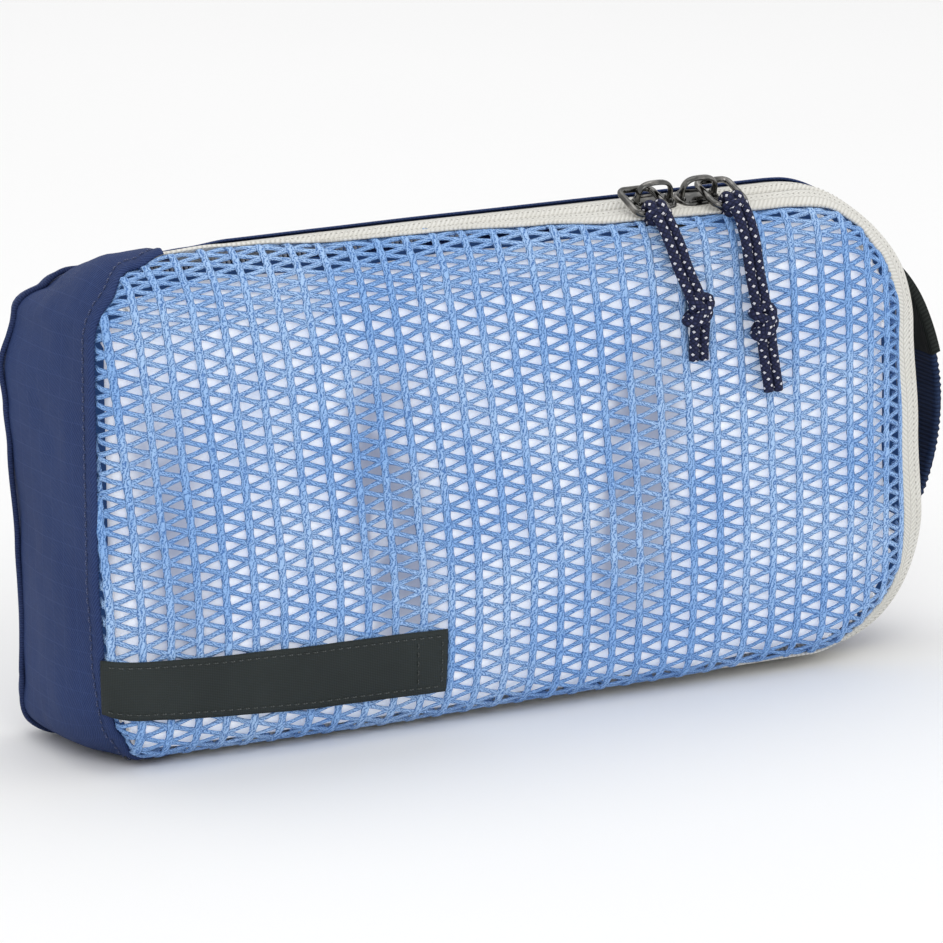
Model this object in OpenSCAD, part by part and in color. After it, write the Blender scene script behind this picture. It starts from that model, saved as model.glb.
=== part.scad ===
// Slim packing cube: a woven case with a zip-round mesh front that hinges on its left seam.
// +X runs along the case towards the grab handle, -Y is the mesh front, +Z is up.
// The case stands on its long edge, and the origin is the middle of its flat base.

/* [Case] */
// Length of the case, without its handle
case_w = 246; // [230:2:270]
// Height of the case as it stands
case_h = 126; // [116:2:140]
// Depth of the case, front to back
case_d = 55; // [50:1:65]
// Corner radius at the handle end, seen from the front
nose_r = 38; // [32:1:42]
// Corner radius at the plain end, seen from the front
end_r = 18; // [14:1:22]
// Thickness of the woven panels with their seam allowance
wall = 1.2; // [1:0.1:1.6]

/* [Zip] */
// Distance of the coil line behind the front
zip_depth = 15; // [15:0.5:18]
// Slope of the tape towards the front
tape_slope = 16; // [14:1:18]
// Width of one half of the tape, from the coil line out
tape_half = 9; // [8:0.5:9.5]
// Thickness of the tape
tape_t = 0.9; // [0.7:0.1:1]
// Diameter of each coil
coil_d = 2.2; // [1.8:0.1:2.4]
// Slot between the two halves that the slider's post runs in
zip_slot = 2; // [1.8:0.1:2.4]

/* [Sliders] */
// Length of a slider
slider_l = 12; // [11:0.5:13]
// Width of a slider
slider_w = 8.6; // [8:0.1:9]
// Middle of the left slider, along the case
left_slider_x = 43; // [40:0.5:43]
// Distance between the two sliders' middles
slider_pitch = 13; // [13:0.5:15]
// Wire diameter of a pull ring
ring_wire = 1.7; // [1.5:0.1:1.8]
// Diameter of a pull cord
cord_d = 2.6; // [2.4:0.1:2.6]

/* [Mesh front] */
// Radius of the mesh panel's rounded edge
shoulder_r = 6; // [5:0.5:6]
// Thickness of the mesh
mesh_t = 1.2; // [1:0.1:1.4]
// Thickness of the tissue filler behind the mesh
filler_t = 2; // [1.5:0.5:3]

/* [Label and handle] */
// Length of the woven label
label_l = 90; // [86:1:96]
// Height of the woven label
label_h = 16.5; // [15:0.5:18]
// Width of the handle webbing
strap_w = 20; // [18:1:22]
// How far the handle stands off the case
strap_rise = 15; // [13:0.5:15]
// Height between the handle's two anchor points
strap_span = 76; // [70:1:76]

/* [Hidden] */
$fn = 64;

navy = "#2a3766";
mesh_blue = "#6a9ad8";
off_white = "#dedcd2";
black = "#20272a";
gunmetal = "#3c3e40";
cord_navy = "#2b2b4c";

front_y = -case_d / 2;
back_y = case_d / 2;
right_x = case_w / 2;
left_x = -case_w / 2;
// The woven end wraps the plain end's corners as far as this
end_wrap = 27;
end_x = left_x + end_wrap;
// Clearance between bodies that move apart
gap = 0.5;
far = 2 * case_w;

// Coil line, in from the outline of the case, and where the mesh meets the tape
coil_inset = tape_half * sin(tape_slope);
tape_reach = tape_half * cos(tape_slope);
tape_front_inset = 2 * coil_inset;
// Depth of the back half of the tape behind the coil line, and the gusset it is sewn to
tape_back = tape_reach + tape_t * sin(tape_slope);
zip_y = front_y + zip_depth;
// Depth of the mesh's edge, and the front of the woven end it is sewn to
mesh_depth = zip_depth - tape_reach;
seam_y = front_y + mesh_depth + gap;

// ---------- frames and outlines ----------

// The zip lies in a plane behind the front, and is drawn from the handle end
module in_zip_frame() {
    translate([right_x, zip_y, 0])
        children();
}

// Front outline of the case, drawn in from its edge by inset
module outline(inset) {
    h = case_h - 2 * inset;
    translate([left_x + end_r, inset])
        square([case_w - end_r - nose_r, h]);
    translate([left_x + inset, end_r])
        square([end_r, case_h - 2 * end_r]);
    translate([right_x - nose_r - 1, nose_r])
        square([nose_r + 1 - inset, case_h - 2 * nose_r]);
    for (z = [end_r, case_h - end_r])
        translate([left_x + end_r, z])
            circle(r = end_r - inset);
    for (z = [nose_r, case_h - nose_r])
        translate([right_x - nose_r, z])
            circle(r = nose_r - inset);
}

// The outline as a solid between two depths
module slab(inset, y0, y1) {
    translate([0, y1, 0])
        rotate([90, 0, 0])
            linear_extrude(y1 - y0)
                outline(inset);
}

module ring_wall(inset, t, y0, y1) {
    difference() {
        slab(inset, y0, y1);
        slab(inset + t, y0 - 1, y1 + 1);
    }
}

module x_band(x0, x1) {
    translate([x0, -far / 2, -far / 2])
        cube([x1 - x0, far, far]);
}

// ---------- sweeps along the zip ----------
// A profile has x outward from the case's outline and y backward from the coil line.

module sweep_top(x0, x1) {
    translate([x1, 0, case_h])
        rotate([0, -90, 0])
            linear_extrude(x1 - x0)
                children();
}

module sweep_bottom(x0, x1) {
    translate([x0, 0, 0])
        rotate([0, 90, 0])
            linear_extrude(x1 - x0)
                children();
}

module sweep_corner(z, turn) {
    translate([-nose_r, 0, z])
        rotate([-90, 0, 0])
            rotate([0, 0, turn])
                rotate_extrude(angle = 90)
                    translate([nose_r, 0])
                        children();
}

module sweep_zip(x0) {
    in_zip_frame() {
        sweep_top(x0, -nose_r) children();
        sweep_corner(case_h - nose_r, -90) children();
        translate([0, 0, nose_r])
            linear_extrude(case_h - 2 * nose_r)
                children();
        sweep_corner(nose_r, 0) children();
        sweep_bottom(x0, -nose_r) children();
    }
}

// Half of the tape's section: side is -1 for the front half, 1 for the back half
module tape_section(side) {
    translate([-coil_inset, 0])
        rotate(-tape_slope)
            translate([-tape_t, side > 0 ? zip_slot / 2 : -tape_half])
                square([tape_t, tape_half - zip_slot / 2]);
}

module coil_section(side) {
    translate([-coil_inset, 0])
        rotate(-tape_slope)
            translate([-tape_t - coil_d / 2 - 0.05, side * (zip_slot / 2 + coil_d / 2)])
                circle(d = coil_d, $fn = 24);
}

// Where the zip stops at the plain end, in the zip's frame
zip_end = end_x + gap - right_x;

// ---------- woven case ----------

module back_panel() {
    color(navy) slab(0, back_y - wall, back_y);
}

// Wall of the case between the tape and the back panel
module gusset_wall() {
    ring_wall(0, wall, zip_y + tape_back, back_y - wall);
}

module top_gusset() {
    color(navy)
        intersection() {
            gusset_wall();
            translate([end_x, -far / 2, case_h / 2])
                cube([right_x - nose_r - end_x, far, far]);
        }
}

module nose_gusset() {
    color(navy)
        intersection() {
            gusset_wall();
            x_band(right_x - nose_r, right_x + 1);
        }
}

module bottom_gusset() {
    color(navy)
        intersection() {
            gusset_wall();
            translate([end_x, -far / 2, case_h / 2 - far])
                cube([right_x - nose_r - end_x, far, far]);
        }
}

// Full-depth end, wrapped round both corners
module end_panel() {
    color(navy)
        intersection() {
            ring_wall(0, wall, seam_y, back_y - wall);
            x_band(left_x - 1, end_x);
        }
}

// Turned and topstitched edge of the end panel, along the mesh seam
fold_w = 3;
fold_t = 0.5;
module end_seam_fold() {
    color(navy)
        intersection() {
            difference() {
                slab(wall, seam_y, seam_y + fold_w);
                slab(wall + fold_t, seam_y - 1, seam_y + fold_w + 1);
            }
            x_band(left_x - 1, end_x);
        }
}

// Binding tape over the raw seam inside the back edge
binding_w = 7;
binding_t = 1;
module back_binding() {
    color(navy)
        difference() {
            slab(wall, back_y - wall - binding_w, back_y - wall);
            slab(wall + binding_t, back_y - wall - binding_w - 1, back_y);
        }
}

// ---------- zip ----------

module back_tape() {
    color(off_white) sweep_zip(zip_end) tape_section(1);
}

module front_tape() {
    color(off_white) sweep_zip(zip_end) tape_section(-1);
}

module back_coil() {
    color(off_white) sweep_zip(zip_end) coil_section(1);
}

module front_coil() {
    color(off_white) sweep_zip(zip_end) coil_section(-1);
}

// Sewn bars that close the ends of the zip, behind its slot
bartack_l = 2;
bartack_t = 0.8;
bartack_inset = 1;
module zip_bartacks() {
    bar_w = tape_half - zip_slot / 2 - coil_d - 0.4 - bartack_inset;
    color(navy)
        in_zip_frame() {
            sweep_top(zip_end, zip_end + bartack_l) bartack_section(bar_w);
            sweep_bottom(zip_end, zip_end + bartack_l) bartack_section(bar_w);
        }
}

module bartack_section(bar_w) {
    translate([-coil_inset, 0])
        rotate(-tape_slope)
            translate([-tape_t - bartack_t, tape_half - bartack_inset - bar_w])
                square([bartack_t, bar_w]);
}

// ---------- mesh front ----------

// The mesh is sewn under the tape's front edge, so its outline is smaller than the case's
mesh_inset = tape_front_inset + tape_t;

// Section of the mesh edge: a flat lead, a turn in flats, and a straight return
mesh_turn = [-90, -60, -30, 0];
mesh_lead = 2;
module mesh_edge_section() {
    r_in = shoulder_r - mesh_t;
    centre = [-shoulder_r, shoulder_r];
    lead_x = -shoulder_r - mesh_lead;
    polygon(concat(
        [[lead_x, mesh_t], [lead_x, 0]],
        [for (a = mesh_turn) centre + shoulder_r * [cos(a), sin(a)]],
        [[0, mesh_depth], [-mesh_t, mesh_depth]],
        [for (i = [len(mesh_turn) - 1 : -1 : 0])
            centre + r_in * [cos(mesh_turn[i]), sin(mesh_turn[i])]]
    ));
}

// Front outline of the mesh, drawn in by inset: it reaches the woven end at the plain end
mesh_left_x = left_x + 0.6;
mesh_corner_r = 14;
module mesh_outline(inset) {
    nose = nose_r - mesh_inset - inset;
    z0 = mesh_inset + inset;
    h = case_h - 2 * z0;
    plain = mesh_corner_r - inset;
    x0 = mesh_left_x + mesh_corner_r;
    x1 = right_x - nose_r;
    translate([x0, z0])
        square([x1 - x0, h]);
    translate([x0 - plain, z0 + plain])
        square([plain + 1, h - 2 * plain]);
    translate([x1 - 1, nose_r])
        square([nose + 1, case_h - 2 * nose_r]);
    for (z = [z0 + plain, z0 + h - plain])
        translate([x0, z])
            circle(r = plain);
    for (z = [nose_r, case_h - nose_r])
        translate([x1, z])
            circle(r = nose);
}

// The edge section all round the mesh's front outline
module sweep_mesh_edge() {
    nose = nose_r - mesh_inset;
    plain = mesh_corner_r;
    h = case_h - 2 * mesh_inset;
    x0 = mesh_left_x + plain;
    x1 = right_x - nose_r;
    translate([0, front_y, mesh_inset]) {
        translate([x1, 0, h])
            rotate([0, -90, 0])
                linear_extrude(x1 - x0)
                    children();
        translate([x0, 0, 0])
            rotate([0, 90, 0])
                linear_extrude(x1 - x0)
                    children();
        translate([x1 + nose, 0, nose])
            linear_extrude(h - 2 * nose)
                children();
        translate([mesh_left_x, 0, plain])
            mirror([1, 0, 0])
                linear_extrude(h - 2 * plain)
                    children();
        outline_corner(x1, nose, nose, 0) children();
        outline_corner(x1, h - nose, nose, -90) children();
        outline_corner(x0, plain, plain, 90) children();
        outline_corner(x0, h - plain, plain, 180) children();
    }
}

module outline_corner(x, z, r, turn) {
    translate([x, 0, z])
        rotate([-90, 0, 0])
            rotate([0, 0, turn])
                rotate_extrude(angle = 90)
                    translate([r, 0])
                        children();
}

module mesh_panel() {
    color(mesh_blue) {
        translate([0, front_y + mesh_t, 0])
            rotate([90, 0, 0])
                linear_extrude(mesh_t)
                    mesh_outline(shoulder_r + mesh_lead / 2);
        sweep_mesh_edge() mesh_edge_section();
    }
}

// White tissue that keeps the mesh in shape: it moves with the mesh
filler_inset = 14;
filler_gap = 0.6;
module tissue_filler() {
    y0 = front_y + mesh_t + filler_gap;
    color("white") slab(filler_inset, y0, y0 + filler_t);
}

label_t = 0.7;
label_x = left_x + 9;
label_z = 9.5;
label_gap = 0.05;
module label_frame() {
    translate([label_x, front_y - label_gap, label_z])
        children();
}

module label_tab() {
    color(black)
        label_frame()
            translate([0, -label_t, 0])
                cube([label_l, label_t, label_h]);
}

// Running stitch round the label and across its free end
stitch_w = 0.5;
stitch_t = 0.3;
stitch_inset = 1.6;
label_end_w = 7.5;
module label_stitching() {
    l = label_l - 2 * stitch_inset;
    h = label_h - 2 * stitch_inset;
    color(black)
        label_frame()
            translate([stitch_inset, -label_t - stitch_t, stitch_inset]) {
                for (z = [0, h - stitch_w])
                    translate([0, 0, z])
                        cube([l, stitch_t, stitch_w]);
                for (x = [l - label_end_w, l - stitch_w])
                    translate([x, 0, stitch_w])
                        cube([stitch_w, stitch_t, h - 2 * stitch_w]);
            }
}

// ---------- sliders, rings and pull cords ----------
// Both sliders stay on the front half of the zip. hand is -1 for the left one, 1 for the right.

right_slider_x = left_slider_x + slider_pitch;
plate_gap = 0.45;
plate_t = 1.5;
plate_top = plate_gap + plate_t;
post_w = 1.2;
post_l = 3;
lower_t = 1.1;
lower_gap = 0.4;
lower_top = -tape_t - coil_d - 0.05 - lower_gap;

// Coil line at a slider: x along the zip, y back, z out of the tape
module slider_frame(x) {
    in_zip_frame()
        translate([x - right_x, 0, case_h - coil_inset])
            rotate([tape_slope, 0, 0])
                children();
}

// Plate of a slider, rounded at both ends
module slider_plate(w, t) {
    linear_extrude(t) {
        square([slider_l - w / 2, w], center = true);
        intersection() {
            circle(d = slider_l);
            square([slider_l, w], center = true);
        }
    }
}

module slider_body(hand) {
    color(gunmetal) {
        translate([0, 0, plate_gap])
            slider_plate(slider_w, plate_t);
        translate([0, 0, lower_top - lower_t])
            slider_plate(slider_w - 0.8, lower_t);
        // post that parts the coils, at the end where the zip is open
        translate([-hand * slider_l / 4 - post_l / 2, -post_w / 2, lower_top - 0.1])
            cube([post_l, post_w, plate_gap - lower_top + 0.2]);
    }
}

crown_l = 11;
crown_h = 5.6;
crown_w = 2.2;
crown_t = 1.2;
crown_leg = 1.5;
// Arched bar that holds the ring
module crown() {
    color(gunmetal)
        translate([0, crown_w / 2, plate_top])
            rotate([90, 0, 0])
                linear_extrude(crown_w)
                    difference() {
                        arch(crown_l, crown_h, 2.6);
                        arch(crown_l - 2 * crown_leg, crown_h - crown_t, 2);
                    }
}

module arch(l, h, r) {
    translate([-l / 2, 0])
        square([l, h - r]);
    translate([r - l / 2, 0])
        square([l - 2 * r, h]);
    for (x = [r - l / 2, l / 2 - r])
        translate([x, h - r])
            circle(r = r);
}

// Ring: a bent wire rectangle that lies round the crown's outer leg
ring_short = 9.3;
ring_long = 11.2;
ring_bend = 1.9;
ring_back = 2.3;
ring_axis_h = 2.6;
ring_drop = 6;

module ring_frame(hand) {
    translate([hand * (crown_l - crown_leg) / 2, ring_back, plate_top + ring_axis_h])
        rotate([ring_drop, 0, 0])
            children();
}

module wire_ring() {
    side = ring_long - 2 * ring_bend;
    bar = ring_short - 2 * ring_bend;
    for (x = [-ring_short / 2, ring_short / 2])
        translate([x, -ring_bend, 0])
            rotate([90, 0, 0])
                cylinder(h = side, d = ring_wire);
    for (y = [0, -ring_long])
        translate([-bar / 2, y, 0])
            rotate([0, 90, 0])
                cylinder(h = bar, d = ring_wire);
    for (i = [0 : 3]) {
        x = (i == 0 || i == 3 ? 1 : -1) * bar / 2;
        y = i < 2 ? -ring_bend : ring_bend - ring_long;
        translate([x, y, 0])
            rotate([0, 0, 90 * i])
                rotate_extrude(angle = 90)
                    translate([ring_bend, 0])
                        circle(d = ring_wire);
    }
}

module pull_ring(hand) {
    color(gunmetal) ring_frame(hand) wire_ring();
}

// The cord's hitch round the ring's free bar
hitch_l = 5;
hitch_clear = 0.1;
hitch_t = 1.9;
module ring_hitch(hand) {
    bore = ring_wire / 2 + hitch_clear;
    color(cord_navy)
        ring_frame(hand)
            translate([-hitch_l / 2, -ring_long, 0])
                rotate([0, 90, 0])
                    difference() {
                        cylinder(h = hitch_l, r = bore + hitch_t);
                        translate([0, 0, -1])
                            cylinder(h = hitch_l + 2, r = bore);
                    }
}

// Routes of the cords' middle line, from the hitch to the cut end
left_route = [
    [38.2, -25.7, 124.2], [38.3, -27.1, 122.6], [38.7, -28.3, 120.8], [39.4, -29.2, 118.4],
    [40.2, -29.8, 115.8], [41, -30, 113.2], [42, -30.2, 110.5], [43, -30.8, 107.8],
    [44, -31.5, 105], [45, -32, 102], [45.6, -32, 99], [45.9, -31.5, 96], [46.1, -30.8, 93],
    [46.3, -30.3, 90.2], [46.5, -30, 87.4]
];
right_route = [
    [60.8, -25.7, 124.2], [60.9, -27.1, 122.6], [61, -28.3, 120.8], [61.3, -29.4, 118],
    [61.7, -30, 115], [62.1, -30.2, 111.5], [62.6, -30.4, 108], [63.1, -30.8, 104.5],
    [63.6, -31.4, 101], [64.2, -32, 97.5], [64.9, -32, 94], [65.7, -31.4, 90.5],
    [66.5, -30.8, 87], [67.3, -30.4, 83.5], [68, -30.2, 80.2], [68.6, -30, 77]
];
strand_offset = 1.4;
cord_sides = 8;

// Closed tube of eight sides along a route that runs mostly downward
module cord_tube(route) {
    n = len(route);
    r = cord_d / 2;
    rings = [for (i = [0 : n - 1])
        let (
            run = route[min(i + 1, n - 1)] - route[max(i - 1, 0)],
            along = run / norm(run),
            across = cross(along, [1, 0, 0]) / norm(cross(along, [1, 0, 0])),
            side = cross(along, across)
        )
        for (j = [0 : cord_sides - 1])
            route[i] + r * (cos(j * 360 / cord_sides) * across + sin(j * 360 / cord_sides) * side)
    ];
    sides = [for (i = [0 : n - 2], j = [0 : cord_sides - 1])
        let (k = (j + 1) % cord_sides, a = i * cord_sides, b = a + cord_sides)
            [a + j, a + k, b + k, b + j]
    ];
    cap0 = [for (j = [cord_sides - 1 : -1 : 0]) j];
    cap1 = [for (j = [0 : cord_sides - 1]) (n - 1) * cord_sides + j];
    polyhedron(points = rings, faces = concat([cap0, cap1], sides));
}

module cord_strand(route, side) {
    color(cord_navy)
        cord_tube([for (p = route) p + [side * strand_offset, 0, 0]]);
}

knot_d = 8;
knot_h = 9;
knot_round = 2;
left_knot_at = [45.4, -32, 96];
right_knot_at = [64.5, -32, 91.2];
// Overhand knot in both strands, as its outer shape, standing on the point given
module pull_knot(at) {
    straight = knot_d / 2 - knot_round;
    color(cord_navy)
        translate(at)
            rotate_extrude() {
                square([straight, knot_h]);
                translate([0, knot_round])
                    square([knot_d / 2, knot_h - 2 * knot_round]);
                for (z = [knot_round, knot_h - knot_round])
                    translate([straight, z])
                        intersection() {
                            circle(r = knot_round);
                            translate([0, -knot_round])
                                square([knot_round, 2 * knot_round]);
                        }
            }
}

// ---------- grab handle ----------

strap_t = 1.6;
strap_bend = 12;
strap_y = 2;
cover_t = 0.8;
cover_gap = 0.05;
// How far each end of the strap runs in to the curved corner
strap_root = 6;

// Side view of the standing strap: x out from the case, y up from its lower end
module strap_outline(inset) {
    r = strap_bend - inset;
    rise = strap_rise - inset;
    span = strap_span - 2 * inset;
    translate([0, inset]) {
        translate([-strap_root, 0])
            square([strap_root + rise - r, span]);
        translate([0, r])
            square([rise, span - 2 * r]);
        for (z = [r, span - r])
            translate([rise - r, z])
                circle(r = r);
    }
}

// A layer of the handle between two insets, cut off where it meets the case
module strap_layer(inset, t) {
    difference() {
        translate([right_x, strap_y + strap_w / 2, (case_h - strap_span) / 2])
            rotate([90, 0, 0])
                linear_extrude(strap_w)
                    difference() {
                        strap_outline(inset);
                        strap_outline(inset + t);
                    }
        translate([-strap_root, 0, 0])
            x_band(-far, right_x - strap_root);
        slab(0, front_y, back_y);
    }
}

module handle_strap() {
    color(navy) strap_layer(0, strap_t);
}

// Black tab wrapped over the upper half of the strap
cover_z = 75;
module handle_cover() {
    color(black)
        intersection() {
            strap_layer(-cover_gap - cover_t, cover_t);
            translate([-far / 2, -far / 2, cover_z])
                cube(far);
        }
}

// ---------- draw ----------

back_panel();
top_gusset();
nose_gusset();
bottom_gusset();
end_panel();
end_seam_fold();
back_binding();
back_tape();
back_coil();
zip_bartacks();
handle_strap();
handle_cover();
mesh_panel();
front_tape();
front_coil();
tissue_filler();
label_tab();
label_stitching();
slider_frame(left_slider_x) slider_body(-1);  // left_slider
slider_frame(left_slider_x) crown();  // left_crown
slider_frame(left_slider_x) pull_ring(-1);  // left_ring
slider_frame(left_slider_x) ring_hitch(-1);  // left_hitch
cord_strand(left_route, 1);  // left_cord_inner
cord_strand(left_route, -1);  // left_cord_outer
pull_knot(left_knot_at);  // left_knot
slider_frame(right_slider_x) slider_body(1);  // right_slider
slider_frame(right_slider_x) crown();  // right_crown
slider_frame(right_slider_x) pull_ring(1);  // right_ring
slider_frame(right_slider_x) ring_hitch(1);  // right_hitch
cord_strand(right_route, -1);  // right_cord_inner
cord_strand(right_route, 1);  // right_cord_outer
pull_knot(right_knot_at);  // right_knot
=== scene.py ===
"""Looks of the slim packing cube: woven case, knitted mesh front, zip, corded pulls, label and grab handle.

Lengths in this file are in millimetres, in the frame shared with the CAD model, unless a line says metres.
"""
import math

import bpy
import numpy as np
from mathutils import Matrix, Vector


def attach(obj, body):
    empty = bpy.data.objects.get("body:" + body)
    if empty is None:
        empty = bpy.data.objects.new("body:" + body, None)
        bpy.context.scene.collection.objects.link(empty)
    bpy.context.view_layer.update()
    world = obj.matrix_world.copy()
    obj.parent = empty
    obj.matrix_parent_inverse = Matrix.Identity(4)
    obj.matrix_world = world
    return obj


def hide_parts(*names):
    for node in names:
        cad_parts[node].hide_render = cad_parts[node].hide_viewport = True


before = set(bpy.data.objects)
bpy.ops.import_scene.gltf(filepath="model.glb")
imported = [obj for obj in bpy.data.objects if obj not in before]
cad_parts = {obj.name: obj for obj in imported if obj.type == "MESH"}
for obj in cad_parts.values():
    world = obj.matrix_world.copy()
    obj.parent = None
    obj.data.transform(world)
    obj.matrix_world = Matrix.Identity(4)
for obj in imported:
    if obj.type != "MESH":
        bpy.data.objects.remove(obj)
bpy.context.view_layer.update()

MM = 0.001


# ---------------------------------------------------------------- camera
def make_camera():
    azimuth, elevation, distance = math.radians(-29.5), math.radians(13.6), 1.9
    aim = Vector((-0.002, 0.0, 0.058))
    back = Vector((math.sin(azimuth) * math.cos(elevation),
                   -math.cos(azimuth) * math.cos(elevation), math.sin(elevation)))
    data = bpy.data.cameras.new("camera")
    data.lens, data.sensor_width = 288, 36
    data.clip_start, data.clip_end = 0.05, 20
    cam = bpy.data.objects.new("camera", data)
    bpy.context.scene.collection.objects.link(cam)
    cam.location = aim + back * distance
    cam.rotation_mode = "QUATERNION"
    cam.rotation_quaternion = (-back).to_track_quat("-Z", "Y")
    bpy.context.scene.camera = cam


make_camera()


# ---------------------------------------------------------------- mesh helpers
def build(name, verts, faces, material, uv=None, smooth=True):
    """One mesh object. verts is (n, 3) in mm, faces a list of (m, k) arrays, and uv one (m * k, 2)
    array over all the faces' corners, in the same order."""
    mesh = bpy.data.meshes.new(name)
    verts = np.asarray(verts, float) * MM
    faces = [np.asarray(f, np.int32) for f in faces if len(f)]
    loops = np.concatenate([f.ravel() for f in faces])
    sizes = np.concatenate([np.full(len(f), f.shape[1], np.int32) for f in faces])
    starts = np.concatenate([[0], np.cumsum(sizes)[:-1]]).astype(np.int32)
    mesh.vertices.add(len(verts))
    mesh.vertices.foreach_set("co", verts.astype(np.float32).ravel())
    mesh.loops.add(len(loops))
    mesh.loops.foreach_set("vertex_index", loops)
    mesh.polygons.add(len(sizes))
    mesh.polygons.foreach_set("loop_start", starts)
    mesh.polygons.foreach_set("loop_total", sizes)
    if uv is not None:
        layer = mesh.uv_layers.new(name="UVMap")
        layer.data.foreach_set("uv", np.asarray(uv, np.float32).ravel())
    mesh.update(calc_edges=True)
    mesh.validate()
    mesh.polygons.foreach_set("use_smooth", [smooth] * len(mesh.polygons))
    obj = bpy.data.objects.new(name, mesh)
    bpy.context.scene.collection.objects.link(obj)
    mesh.materials.append(material)
    return obj


def unit(v):
    return v / np.maximum(np.linalg.norm(v, axis=-1, keepdims=True), 1e-9)


def grid_normals(p):
    """Unit normals of a grid of points (rows, columns, 3)."""
    return unit(np.cross(np.gradient(p, axis=0), np.gradient(p, axis=1)))


def grid_uv(rows, cols):
    """The uv of a grid whose rows and columns lie at given distances."""
    return np.stack(np.meshgrid(rows, cols, indexing="ij"), -1)


def run_length(path):
    """Distance along a path to each of its points."""
    return np.concatenate([[0], np.cumsum(np.linalg.norm(np.diff(path, axis=0), axis=1))])


def summed(steps):
    """Running sums of each row of steps, from 0."""
    return np.concatenate([np.zeros((len(steps), 1)), np.cumsum(steps, axis=1)], 1)


def across(p):
    """Distance along each row of a grid of points."""
    return summed(np.linalg.norm(np.diff(p, axis=1), axis=2))


def pick(at, d, values):
    """Rows of values, which lie at distances d, read at other distances."""
    return np.stack([np.interp(at, d, values[:, k]) for k in range(values.shape[1])], 1)


def grid_faces(rows, cols, offset, flip):
    r = np.arange(rows - 1)[:, None]
    c = np.arange(cols - 1)[None, :]
    a = (r * cols + c).ravel()
    b = a + cols
    quads = np.stack([a, a + 1, b + 1, b], 1)
    return (quads[:, ::-1] if flip else quads) + offset


def skin(name, p, uv, t, material, flip=False, inner=None):
    """A sheet of thickness t under a grid of points, with its inner face in another material if given."""
    rows, cols = p.shape[:2]
    n = grid_normals(p) * (-1 if flip else 1)
    verts = np.concatenate([p.reshape(-1, 3), (p - n * t).reshape(-1, 3)])
    k = rows * cols
    faces = [grid_faces(rows, cols, 0, not flip), grid_faces(rows, cols, k, flip)]
    idx = np.arange(k).reshape(rows, cols)
    for rim in (idx[:, 0], idx[:, -1][::-1], idx[0][::-1], idx[-1]):
        a, b = rim[:-1], rim[1:]
        quad = np.stack([a, b, b + k, a + k], 1)
        faces.append(quad if flip else quad[:, ::-1])
    flat = np.concatenate([uv.reshape(-1, 2), uv.reshape(-1, 2)])
    obj = build(name, verts, faces, material, np.concatenate([flat[f.ravel()] for f in faces]))
    if inner:
        obj.data.materials.append(inner)
        index = np.zeros(len(obj.data.polygons), np.int32)
        index[len(faces[0]):2 * len(faces[0])] = 1
        obj.data.polygons.foreach_set("material_index", index)
    return obj


def belongs(piece, body, node=None):
    """The piece moves with a body, and may stand for a CAD node."""
    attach(piece, body)
    if node:
        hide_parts(node)
    return piece


def frames(path, normals=None):
    """Normals and binormals along a path, turned as little as can be, or from given normals."""
    tangent = unit(np.gradient(path, axis=0))
    if normals is None:
        first = np.array([0.0, -1.0, 0.0]) if abs(tangent[0][1]) < 0.9 else np.array([1.0, 0, 0])
        normals = np.zeros_like(path)
        n = first
        for i, t in enumerate(tangent):
            n = n - t * np.dot(n, t)
            n = n / np.linalg.norm(n)
            normals[i] = n
    else:
        normals = unit(normals - tangent * np.sum(normals * tangent, 1, keepdims=True))
    return normals, np.cross(tangent, normals)


def tube_arrays(path, wide, thick, sides, normals=None, caps=True, v0=0.0):
    """A tube of oval section along a path: vertices, faces and corner uv, with u around in turns and v
    along in mm."""
    path = np.asarray(path, float)
    m = len(path)
    n, b = frames(path, normals)
    a = np.arange(sides) * 2 * math.pi / sides
    wide = np.broadcast_to(np.asarray(wide, float), (m,))[:, None, None] / 2
    thick = np.broadcast_to(np.asarray(thick, float), (m,))[:, None, None] / 2
    ring = path[:, None] + wide * np.cos(a)[None, :, None] * b[:, None] \
        + thick * np.sin(a)[None, :, None] * n[:, None]
    verts = ring.reshape(-1, 3)
    i = np.arange(m - 1)[:, None] * sides
    j = np.arange(sides)[None, :]
    k = (j + 1) % sides
    quads = np.stack([(i + j).ravel(), (i + k).ravel(), (i + sides + k).ravel(),
                      (i + sides + j).ravel()], 1)[:, ::-1]
    length = v0 + run_length(path)
    u0, u1, va, vb = (np.broadcast_to(x, (m - 1, sides)).ravel() for x in (
        j / sides, (j + 1) / sides, length[:-1, None], length[1:, None]))
    uv = np.stack([np.stack([u0, vb], 1), np.stack([u1, vb], 1), np.stack([u1, va], 1),
                   np.stack([u0, va], 1)], 1).reshape(-1, 2)
    faces = [quads]
    if caps:
        ends = np.concatenate([verts, [path[0], path[-1]]])
        q = np.arange(sides)
        r = (q + 1) % sides
        base = (m - 1) * sides
        caps_f = np.concatenate([
            np.stack([q, r, np.full(sides, m * sides)], 1),
            np.stack([base + r, base + q, np.full(sides, m * sides + 1)], 1)])
        cap_uv = np.zeros((len(caps_f) * 3, 2))
        cap_uv[:, 1] = 0.3
        verts, faces, uv = ends, [quads, caps_f], np.concatenate([uv, cap_uv])
    return verts, faces, uv


def join_arrays(parts):
    """Several (verts, faces, uv) as one, with quads before triangles."""
    verts, quads, tris, quv, tuv, base = [], [], [], [], [], 0
    for v, faces, uv in parts:
        at = 0
        for f in faces:
            span = f.size
            (quads if f.shape[1] == 4 else tris).append(f + base)
            (quv if f.shape[1] == 4 else tuv).append(uv[at:at + span])
            at += span
        verts.append(v)
        base += len(v)
    faces = [np.concatenate(x) for x in (quads, tris) if x]
    uv = np.concatenate(quv + tuv)
    return np.concatenate(verts), faces, uv


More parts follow.
